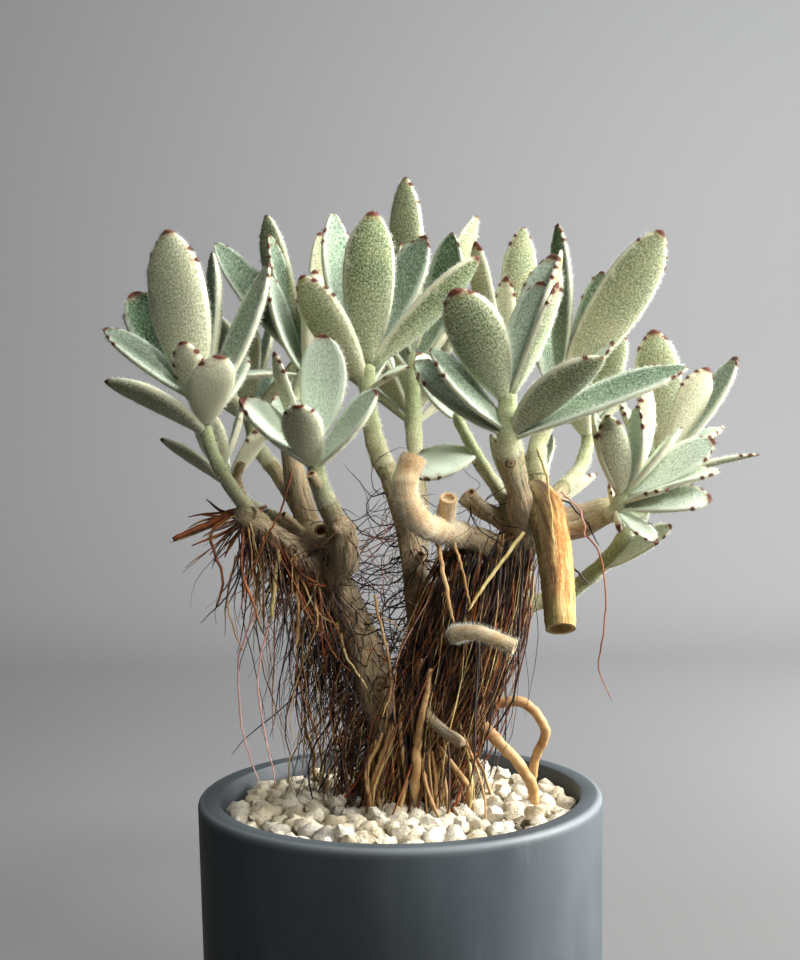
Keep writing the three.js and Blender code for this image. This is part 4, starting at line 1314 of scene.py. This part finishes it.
# pale rind at the end face, then a pith painted darker with depth in the hollow: painted shade
pith_and_hollow_shade = own_value(tree, "pith_and_hollow_shade")
base = layer(tree, base, pith_and_hollow_shade, (0.1, 0.4), tint(222, 190, 140))
base = layer(tree, base, pith_and_hollow_shade, (0.5, 0.95), tint(74, 44, 26))
tree.links.new(base, shader.inputs["Base Color"])
shader.inputs["Sheen Weight"].default_value = 0.3
bumps(tree, shader, maths(tree, "ADD", fibre, patch), 0.6, 0.6 * mm)

peg_bark, tree, shader = finish_named("peg_bark", roughness=0.88)
place = own_place(tree)
fibre = speckle(tree, stretched(tree, place, (1, 1, 0.3)), 1300, 4, 0.7)
patch = speckle(tree, place, 130, 3, 0.6)
base = ramp(tree, fibre, [
    (0.28, tint(120, 100, 68)), (0.5, tint(160, 140, 102)), (0.72, tint(196, 182, 148))])
base = layer(tree, base, patch, (0.5, 0.66), tint(150, 130, 92))
pith_and_hollow_shade = own_value(tree, "pith_and_hollow_shade")
base = layer(tree, base, pith_and_hollow_shade, (0.1, 0.4), tint(150, 104, 62))
base = layer(tree, base, pith_and_hollow_shade, (0.5, 0.95), tint(46, 26, 14))
tree.links.new(base, shader.inputs["Base Color"])
shader.inputs["Sheen Weight"].default_value = 0.25
bumps(tree, shader, fibre, 0.7, 0.5 * mm)

straw_bark_painted_light, tree, shader = finish_named("straw_bark_painted_light", roughness=0.75)
place = own_place(tree)
grain = own_value(tree, "grain", "Vector")
stripe = speckle(tree, grain, 560, 3, 0.65)
fibre = speckle(tree, grain, 2100, 3, 0.7)
patch = speckle(tree, place, 90, 3, 0.6)
split = wire(tree, "ShaderNodeSeparateXYZ", {"Vector": place})
down = split.outputs["Z"]
across = plus(tree, split.outputs["X"], maths(tree, "SUBTRACT", stripe, 0.5), 5 * mm)
# painted shade and light: the cut branch's left half is darker brown and its right half brighter orange-tan,
# split down its middle, with a dark seam line where they meet
shaded_left_half = ramp(tree, stripe, [
    (0.35, tint(78, 62, 34)), (0.5, tint(132, 112, 68)), (0.65, tint(168, 150, 104))])
lit_right_half = ramp(tree, stripe, [
    (0.32, tint(140, 86, 34)), (0.45, tint(196, 136, 66)), (0.58, tint(226, 178, 108)),
    (0.75, tint(238, 206, 146))])
base = blend_colours(tree, between(tree, across, 0.0525, 0.0575), shaded_left_half, lit_right_half)
seam = maths(tree, "MULTIPLY", between(tree, across, 0.0505, 0.0535), between(tree, across, 0.0565, 0.0540))
base = blend_colours(tree, maths(tree, "MULTIPLY", seam, 0.8), base, tint(84, 58, 28))
greener = maths(tree, "MULTIPLY", between(tree, down, 0.222, 0.210), between(tree, patch, 0.48, 0.62))
base = blend_colours(tree, maths(tree, "MULTIPLY", greener, 0.45), base, tint(130, 134, 70))
base = layer(tree, base, fibre, (0.46, 0.3), tint(96, 66, 32), 0.65)
pith_and_hollow_shade = own_value(tree, "pith_and_hollow_shade")
base = layer(tree, base, pith_and_hollow_shade, (0.1, 0.4), tint(232, 206, 152))
base = layer(tree, base, pith_and_hollow_shade, (0.45, 0.9), tint(44, 24, 12))
tree.links.new(base, shader.inputs["Base Color"])
bumps(tree, shader, maths(tree, "ADD", fibre, stripe), 0.8, 0.6 * mm)

for piece, finish in ((hook, cream_bark), (short, cream_bark), (low, cream_bark),
                      (hanging, straw_bark_painted_light), (peg_stubs, peg_bark)):
    piece.data.materials.append(finish)
    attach(piece, "root")

woolly_from = 214
stub_wool = []
for piece, density, length in ((hook, 2.2, 1.3), (short, 1.6, 1.3), (low, 2.8, 1.5),
                               (peg_stubs, 1.0, 0.9), (bark, 0.6, 0.8)):
    points, faces = skin_of(piece)
    if piece == bark:
        faces = faces[points[faces].mean(axis=1)[:, 2] > woolly_from]
    stub_wool.append(hairs_on(points, faces, density, length, np.zeros(3),
                              np.random.default_rng(51), base=0.05))
stub_fuzz = wool_piece("stub_wool", stub_wool)
stub_fuzz.data.materials.append(hair_finish)
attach(stub_fuzz, "root")
print("hairs on the stubs:", len(stub_fuzz.data.vertices) // 4)

# %% [markdown]
# ## Roots
# Thousands of thread-thin roots hang from the stems. Most are nearly black-brown; some are
# rust, tan or straw-coloured, and the youngest are pink. In the middle they are so dense
# that they make a column; under the left branch they hang as a curtain. They could be drawn
# as straight threads, but real ones look grown: each starts on a stem or on the column, sets
# off outwards, sinks by its weight, and keeps turning a little as it goes.

# %% The rule of growth
column_shape = np.array([
    (130, 2, 9, 14, 13), (150, 3, 9, 13, 13), (160, 5, 8, 13, 12), (173, 9, 6, 14, 12), (187, 16, 3, 17, 12),
    (203, 26, 0, 20, 12), (218, 31, -2, 20, 11), (236, 35, -4, 16, 9)], float)
gravel_level = 131
kinds = ["black_root", "brown_root", "rust_root", "tan_root", "straw_root", "pink_root"]
dark_share = [0.40, 0.28, 0.15, 0.12, 0.04, 0.01]
black_share = [0.74, 0.17, 0.05, 0.04, 0.0, 0.0]
foot_share = [0.08, 0.16, 0.22, 0.36, 0.16, 0.02]
right_share = [0.3, 0.22, 0.2, 0.18, 0.08, 0.02]


def column_at(z):
    """The column's middle, right and back, and its half widths at a height."""
    return (float(np.interp(z, column_shape[:, 0], column_shape[:, k])) for k in range(1, 5))


def wander(count, size, draw):
    """A wavering of this size that starts and ends at nothing."""
    steps = (draw.random((count, 3)) - 0.5) * size
    path = np.cumsum(steps, axis=0)
    share = np.linspace(0, 1, count)[:, None]
    return path - path[0] - (path[-1] - path[0]) * share


def grown_root(draw, start, heading, length, weight, curl, goal=None, pull=0.0, steps=9):
    """A line that leaves start along heading, sinks by its weight and keeps turning."""
    point, heading, turn = np.array(start, float), unit(np.array(heading, float)), np.zeros(3)
    points = [point]
    for _ in range(steps - 1):
        turn = 0.6 * turn + curl * (draw.random(3) - 0.5)
        heading = heading + turn + (0, 0, -weight)
        if goal is not None:
            heading = heading + pull * unit(np.array(goal, float) - point)
        heading = unit(heading)
        point = point + heading * length / (steps - 1)
        point[2] = max(point[2], gravel_level + 1.5 * draw.random())
        points.append(point)
    return np.array(points)


def on_a_stem(draw, number, low, high):
    """A point on the skin of a bare stem between two heights, and the way out from it."""
    line, radii = wood_lines[number]
    k = int(draw.choice(np.nonzero((line[:, 2] >= low) & (line[:, 2] <= high))[0]))
    out = unit(np.cross(heading_at(line, k), draw.random(3) - 0.5))
    return line[k] + out * radii[k] * 0.8, out


def crown_point(draw):
    turn = 2 * math.pi * draw.random()
    return 3 + 10 * math.cos(turn), 8 + 10 * math.sin(turn), 124


# %% [markdown]
# Each part of the plant has its own habit of growth.

# %% Habits
def column_root(draw):
    z = 237 - 92 * draw.random() ** 1.35
    x, y, wide, deep = column_at(z)
    turn = 2 * math.pi * draw.random()
    depth = 0.55 + 0.45 * draw.random()
    start = (x + wide * depth * math.cos(turn), y + deep * depth * math.sin(turn), z)
    heading = (0.5 * math.cos(turn) - 0.3, 0.5 * math.sin(turn), -1)
    goal = crown_point(draw)
    reach = float(np.linalg.norm(np.array(goal) - start)) * (0.35 + 0.72 * draw.random())
    return grown_root(draw, start, heading, reach, 0.05, 0.55, goal, 0.7, steps=10)


def curtain_root(draw):
    start, out = on_a_stem(draw, 6, 218, 246)
    out[2] = -abs(out[2])
    out[1] = abs(out[1]) if draw.random() < 0.6 else out[1]
    long = draw.random() < 0.13
    reach = 58 + 26 * draw.random() if long else 10 + 38 * draw.random() ** 1.5
    goal = (-18 + 12 * draw.random(), 2, 136)
    return grown_root(draw, start, out + (0, 0, -0.7), reach, 0.2, 0.5, goal, 0.22 if long else 0.05)


def left_root(draw):
    start, out = on_a_stem(draw, 0, 146, 226)
    out = np.array([-abs(out[0]) - 0.3, abs(out[1]) * 1.2, out[2]])
    reach = 24 + 46 * draw.random()
    return grown_root(draw, start, out * 0.9 + (-0.1, 0, -0.5), reach, 0.2, 0.5, (-12, 6, 126), 0.16)


def net_root(draw):
    if draw.random() < 0.5:
        start, out = on_a_stem(draw, 0, 164, 226)
        out = np.array([abs(out[0]) + 0.3, out[1], out[2]])
    else:
        start, out = on_a_stem(draw, 1, 168, 238)
    return grown_root(draw, start, out + (0, 0, -0.3), 14 + 30 * draw.random(), 0.1, 1.0)


def upper_root(draw):
    start, out = on_a_stem(draw, int(draw.choice([1, 1, 3, 4, 5, 0])), 228, 254)
    return grown_root(draw, start, out + (0, -0.3, -0.2), 10 + 24 * draw.random(), 0.08, 0.9)


def right_root(draw):
    start, out = on_a_stem(draw, 2, 200, 238)
    start = start + (4 * draw.random(), -6 * draw.random(), 0)
    reach = 18 + 62 * draw.random() ** 1.8
    return grown_root(draw, start, (0.1, -0.4, -1), reach, 0.06, 0.5, (4, 2, 140), 0.6)


def foot_root(draw):
    z = 136 + 44 * draw.random()
    x, y, wide, deep = column_at(z)
    turn = 2 * math.pi * draw.random()
    start = (x + wide * 0.85 * math.cos(turn), y + deep * 0.85 * math.sin(turn), z)
    heading = (0.5 * math.cos(turn), 0.5 * math.sin(turn), -1)
    goal = (3 + 17 * math.cos(turn), 8 + 15 * math.sin(turn), 124)
    return grown_root(draw, start, heading, 16 + (z - 130) * 1.1, 0.12, 0.5, goal, 0.3)


def twig_root(draw):
    start = np.array([-50, -20, 247]) + (draw.random(3) - 0.5) * (10, 6, 5)
    heading = (-1, -0.15 + 0.3 * (draw.random() - 0.5), -0.1 - 0.5 * draw.random())
    return grown_root(draw, start, heading, 12 + 20 * draw.random(), 0.05, 0.3)


def ribbon_root(draw):
    start, out = on_a_stem(draw, 6, 226, 246)
    return grown_root(draw, start, (0.1, -0.3, -1), 18 + 24 * draw.random(), 0.12, 0.5)


# %% Strew the threads
root_draw = np.random.default_rng(77)


def thread_radii(count, draw, thinnest, thickest):
    middle = thinnest + (thickest - thinnest) * draw.random() ** 2.4
    return middle * np.interp(np.linspace(0, 1, count), [0, 0.1, 0.75, 1], [1.1, 1, 0.75, 0.3])


def threads(*habits):
    """Grows each habit: its rule, count, radii and share of kinds."""
    sorted_lines = {kind: [] for kind in kinds}
    for rule, count, thinnest, thickest, shares in habits:
        for _ in range(count):
            points = rule(root_draw)
            kind = kinds[int(root_draw.choice(len(kinds), p=shares))]
            radii = thread_radii(len(points), root_draw, thinnest, thickest)
            sorted_lines[kind].append((points, radii))
    return sorted_lines


masses = {
    "column_roots": threads(
        (column_root, 1350, 0.15, 0.5, dark_share), (foot_root, 360, 0.25, 0.9, foot_share)),
    "curtain_roots": threads(
        (curtain_root, 400, 0.13, 0.42, dark_share), (left_root, 480, 0.13, 0.45, dark_share),
        (twig_root, 26, 0.25, 0.7, [0.1, 0.2, 0.3, 0.25, 0.15, 0.0]),
        (ribbon_root, 14, 0.5, 0.9, [0.0, 0.2, 0.45, 0.35, 0.0, 0.0])),
    "crossing_roots": threads(
        (net_root, 300, 0.12, 0.34, black_share), (upper_root, 120, 0.12, 0.3, black_share)),
    "right_roots": threads((right_root, 130, 0.14, 0.45, right_share)),
}
print("threads:", *(sum(len(lines) for lines in mass.values()) for mass in masses.values()))

# %% [markdown]
# Each kind of root has its own colour with darker and lighter stretches along it, and a
# slight gloss, as dry roots have.

# %% Root finishes
root_tints = {
    "black_root": ((14, 8, 6), (44, 26, 18)), "brown_root": ((50, 28, 14), (112, 70, 40)),
    "rust_root": ((106, 52, 22), (176, 102, 52)), "tan_root": ((150, 108, 60), (214, 176, 120)),
    "straw_root": ((186, 156, 80), (238, 220, 156)), "pink_root": ((196, 132, 120), (232, 186, 170)),
}
root_finishes = {}
for kind, (dark, light) in root_tints.items():
    finish, tree, shader = finish_named(kind, roughness=0.6)
    place = own_place(tree)
    run = speckle(tree, place, 90, 4, 0.7)
    fleck = speckle(tree, place, 900, 3, 0.7)
    base = ramp(tree, run, [(0.35, tint(*dark)), (0.65, tint(*light))])
    base = layer(tree, base, fleck, (0.5, 0.3), tint(*dark), 0.5)
    tree.links.new(base, shader.inputs["Base Color"])
    bumps(tree, shader, fleck, 0.4, 0.2 * mm)
    root_finishes[kind] = finish
print("root finishes:", len(root_finishes))

# %% Make the threads
def thread_piece(name, sorted_lines):
    bundles = []
    for kind in kinds:
        if sorted_lines[kind]:
            bundle = tubes(kind, sorted_lines[kind], corners=0)
            bundle.data.materials.append(root_finishes[kind])
            bundles.append(bundle)
    piece = joined(name, bundles)
    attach(piece, "root")
    print(name + ":", triangles(piece), "triangles")


for name, mass in masses.items():
    thread_piece(name, mass)

# %% [markdown]
# Behind the outer threads the column is a matted core of roots, too dark to see into; its
# near-black finish is painted shade for the column's depth. A cylinder is cut into rings, and
# each ring is moved to the column's shape, a little inside its threads.

# %% Matted core of the column
core_rings = 24
let_go()
bpy.ops.mesh.primitive_cylinder_add(vertices=28, radius=1, depth=1, location=(0, 0, 0.5))
core = bpy.context.object
core.name = "matted_core"
settle(core)
select_where(core, "EDGE", lambda p, e: abs(p.z - 0.5) < 0.1)
bpy.ops.mesh.subdivide(number_cuts=core_rings)
bpy.ops.object.mode_set(mode="OBJECT")
core_low, core_high = 122.5, 224
for vertex in core.data.vertices:
    z = core_low + (core_high - core_low) * vertex.co.z
    x, y, wide, deep = column_at(z)
    shrink = 0.56 * (1 + 0.3 * noise.noise(Vector((vertex.co.x * 3, vertex.co.y * 3, z * 0.07))))
    vertex.co = Vector((x + wide * shrink * vertex.co.x, y + deep * shrink * vertex.co.y, z)) * mm
core_shade_finish, tree, shader = finish_named("matted_roots_painted_shade", roughness=0.9)
place = own_place(tree)
strands = speckle(tree, stretched(tree, place, (1, 1, 0.12)), 1100, 4, 0.75)
# painted shade: near-black strands for the shaded inside of the root column
base = ramp(tree, strands, [(0.35, tint(8, 5, 4)), (0.55, tint(34, 20, 14)), (0.72, tint(78, 48, 30))])
tree.links.new(base, shader.inputs["Base Color"])
bumps(tree, shader, strands, 1.0, 1.5 * mm)
core.data.materials.append(core_shade_finish)
pick(core)
bpy.ops.object.shade_smooth()
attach(core, "root")
print("core:", triangles(core), "triangles")

# %% [markdown]
# The thick tan prop roots, the dry twig, and the long threads that stand out in the picture
# are placed one by one. Thinner buttress roots stand round the front of the column's foot by
# a rule, each a little further round than the last.

# %% Prop roots and single threads
prop_steps = 48
thread_steps = 22
buttresses = 13
prop_lines = []
for root in prop_roots:
    line, radii = thick_line(root, prop_steps)
    line = line + wander(prop_steps, 0.5, root_draw)
    radii = radii * (1 + 0.14 * (root_draw.random(prop_steps) - 0.5))
    prop_lines.append((line, radii))
for k in range(buttresses):
    turn = math.radians(-165 + 150 * k / (buttresses - 1) + 14 * (root_draw.random() - 0.5))
    out = np.array([math.cos(turn), math.sin(turn), 0])
    rise = 150 + 24 * root_draw.random()
    spread = 15 + 4 * root_draw.random()
    line = smooth_line([np.array([4, 8, rise]) + out * 6, np.array([3, 8, 146]) + out * 10,
                        np.array([3, 8, 136]) + out * 13, np.array([3, 8, 127]) + out * spread],
                       thread_steps)
    thickness = 0.8 + 0.8 * root_draw.random()
    prop_lines.append((line + wander(thread_steps, 1.4, root_draw),
                       thickness * np.linspace(0.7, 1.1, thread_steps)))
props = tubes("prop_roots", prop_lines, corners=3)
props.data.materials.append(root_finishes["tan_root"])
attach(props, "root")

singles = {kind: [] for kind in kinds}
single_roots = [
    ("tan_root", [(14, -24, 238), (17, -30, 222), (20, -33, 208)], 1.1),
    ("tan_root", [(21, -22, 236), (24, -28, 224), (26, -30, 213)], 0.7),
    ("straw_root", [(46, -18, 238), (36, -26, 226), (25, -32, 212)], 0.9),
    ("straw_root", [(51, -20, 268), (54, -26, 252), (56, -28, 235)], 0.5),
    ("rust_root", [(68, -5, 238), (74, -9, 229), (75, -10, 203), (73, -10, 188), (78, -10, 175)], 0.4),
    ("pink_root", [(60, -14, 252), (66, -20, 246), (68, -22, 236)], 0.45),
    ("tan_root", [(-8, -14, 216), (-5, -16, 200), (-2, -14, 182), (-6, -18, 172)], 0.6),
    ("straw_root", [(-22, -14, 206), (-19, -16, 200), (-17, -16, 192), (-11, -16, 182)], 0.5),
    ("straw_root", [(-42, -24, 234), (-43, -26, 222), (-45, -26, 208)], 0.9),
    ("tan_root", [(-36, -20, 232), (-35, -22, 218), (-36, -22, 198)], 0.9),
    ("rust_root", [(-36, -28, 262), (-40, -30, 250), (-47, -30, 236), (-52, -30, 222)], 0.45),
    ("pink_root", [(-50, -24, 214), (-56, -24, 196), (-56, -24, 172), (-50, -24, 150)], 0.4),
    ("pink_root", [(-46, -24, 208), (-50, -26, 186), (-46, -26, 164), (-44, -26, 148)], 0.4),
    ("tan_root", [(-57, -22, 232), (-60, -24, 216), (-55, -24, 198)], 0.5),
    ("rust_root", [(-60, -21, 246), (-66, -22, 240), (-62, -24, 226), (-64, -24, 214)], 0.6),
    ("tan_root", [(-34, 36, 130), (-34, 36, 144), (-37, 30, 159)], 1.1),
    ("tan_root", [(-31, 37, 130), (-32, 36, 146), (-35, 30, 167)], 0.8),
    ("tan_root", [(-8, -12, 128), (-10, -14, 136), (-12, -10, 150), (-6, -8, 164)], 1.2),
    ("tan_root", [(12, -10, 128), (14, -12, 140), (12, -12, 158)], 1.0),
    ("tan_root", [(22, -6, 130), (26, -10, 142), (20, -12, 152), (14, -12, 160)], 1.3),
    ("rust_root", [(16, -10, 128), (20, -12, 138), (24, -8, 150)], 0.8),
    ("tan_root", [(-2, -12, 128), (0, -14, 138), (4, -12, 150)], 0.9),
    ("black_root", [(60, -14, 228), (64, -18, 224), (69, -20, 219)], 0.5),
    ("black_root", [(54, -10, 250), (62, -12, 248), (70, -12, 240), (74, -10, 232)], 0.4),
]
for kind, path, radius in single_roots:
    line = smooth_line(path, thread_steps)
    line = line + wander(thread_steps, 0.7, root_draw)
    taper = np.interp(np.linspace(0, 1, thread_steps), [0, .85, 1], [1, .8, .35])
    singles[kind].append((line, radius * taper))
line, radii = thick_line(dry_twig, 24)
singles["rust_root"].append((line + wander(len(line), 0.8, root_draw), radii))
thread_piece("single_roots", singles)
print("prop roots:", triangles(props), "triangles")

# %% [markdown]
# ## Floor, backdrop and light
# The plant stands on grey paper that rises into a plain wall in one sweep. The paper is
# painted darker near the front and paler towards the wall, painted shade and light in place
# of how the lamps' light falls off. A large soft light comes from the right, as from a window,
# with a weaker one above it for the sky, so the pot goes from nearly black on its left to mid
# grey on its right. Two more wash the wall and the floor by it, and a narrow spot from the
# front right lights the plant and its gravel, so that the hairs on the right rims shine.

# %% Floor and backdrop
let_go()
bpy.ops.mesh.primitive_plane_add(size=2, location=(0, 0.2, 0))
floor = bpy.context.object
floor.name = "floor"
floor.scale = (1.6, 1.2, 1)
settle(floor)
wall_place = 1.4
wall_height = 2.4
sweep_radius = 0.35
select_where(floor, "EDGE", lambda p, e: p.y > wall_place - 0.1)
bpy.ops.mesh.extrude_region_move(TRANSFORM_OT_translate={"value": (0, 0, wall_height)})
select_where(floor, "EDGE", lambda p, e: abs(p.y - wall_place) < 1e-3 and abs(p.z) < 1e-3)
bpy.ops.mesh.bevel(offset=sweep_radius, segments=10)
bpy.ops.object.mode_set(mode="OBJECT")
bpy.ops.object.shade_smooth()
paper_painted_shade, tree, shader = finish_named("wall_with_painted_shade", roughness=0.9)
place = own_place(tree)
haze = speckle(tree, place, 3.5, 4, 0.6)
apart = wire(tree, "ShaderNodeSeparateXYZ", {"Vector": place})
# painted shade and light: the paper darkens towards the front and pales towards the wall
reach = maths(tree, "ADD", apart.outputs["Y"], apart.outputs["Z"])
reach = plus(tree, between(tree, reach, -0.4, wall_height), haze, 0.02)
base = ramp(tree, reach, [
    (0.0, tint(88, 88, 88)), (0.26, tint(116, 116, 116)), (0.47, tint(152, 152, 153)),
    (0.6, tint(166, 166, 167)), (0.78, tint(169, 169, 170)), (0.95, tint(172, 173, 174))])
tree.links.new(base, shader.inputs["Base Color"])
floor.data.materials.append(paper_painted_shade)
print("backdrop:", len(floor.data.polygons), "faces")


# %% Lights
def lamp_at(name, kind, place, target, power, colour):
    """A lamp of a kind that shines from its place to its target; its settings are returned."""
    data = bpy.data.lights.new(name, kind)
    data.energy = power
    data.color = colour
    lamp = placed(name, data)
    lamp.location = place
    aim = Vector(target) - Vector(place)
    lamp.rotation_euler = aim.to_track_quat("-Z", "Y").to_euler()
    return data


def soft_light(name, place, target, size, power, colour):
    data = lamp_at(name, "AREA", place, target, power, colour)
    data.shape = "RECTANGLE"
    data.size, data.size_y = size


middle = (0, 0, 0.26)
crown_middle = (0.005, 0.015, 0.245)
soft_light("window", (0.85, 0.05, 0.54), middle, (0.6, 0.75), 27, (1, 0.99, 0.97))
soft_light("sky", (0.62, -0.15, 0.95), middle, (0.5, 0.6), 8, (0.97, 0.985, 1))
soft_light("wall_wash", (1.0, 0.75, 0.9), (0.25, 1.35, 0.55), (0.6, 0.6), 6.5, (1, 1, 1))
soft_light("low_wash", (0.95, 0.5, 0.3), (0.5, 0.9, 0.02), (0.4, 0.3), 4.4, (1, 1, 1))
plant_spot = lamp_at("plant_spot", "SPOT", (0.42, -0.86, 1.1), crown_middle, 60, (1, 0.985, 0.95))
plant_spot.spot_size = math.radians(15.5)
plant_spot.spot_blend = 0.35
plant_spot.shadow_soft_size = 0.16
world = bpy.data.worlds.new("studio")
world.use_nodes = True
background = world.node_tree.nodes["Background"]
background.inputs["Color"].default_value = (0.80, 0.86, 0.92, 1)
background.inputs["Strength"].default_value = 0.03
bpy.context.scene.world = world
bpy.context.scene.view_settings.view_transform = "Standard"
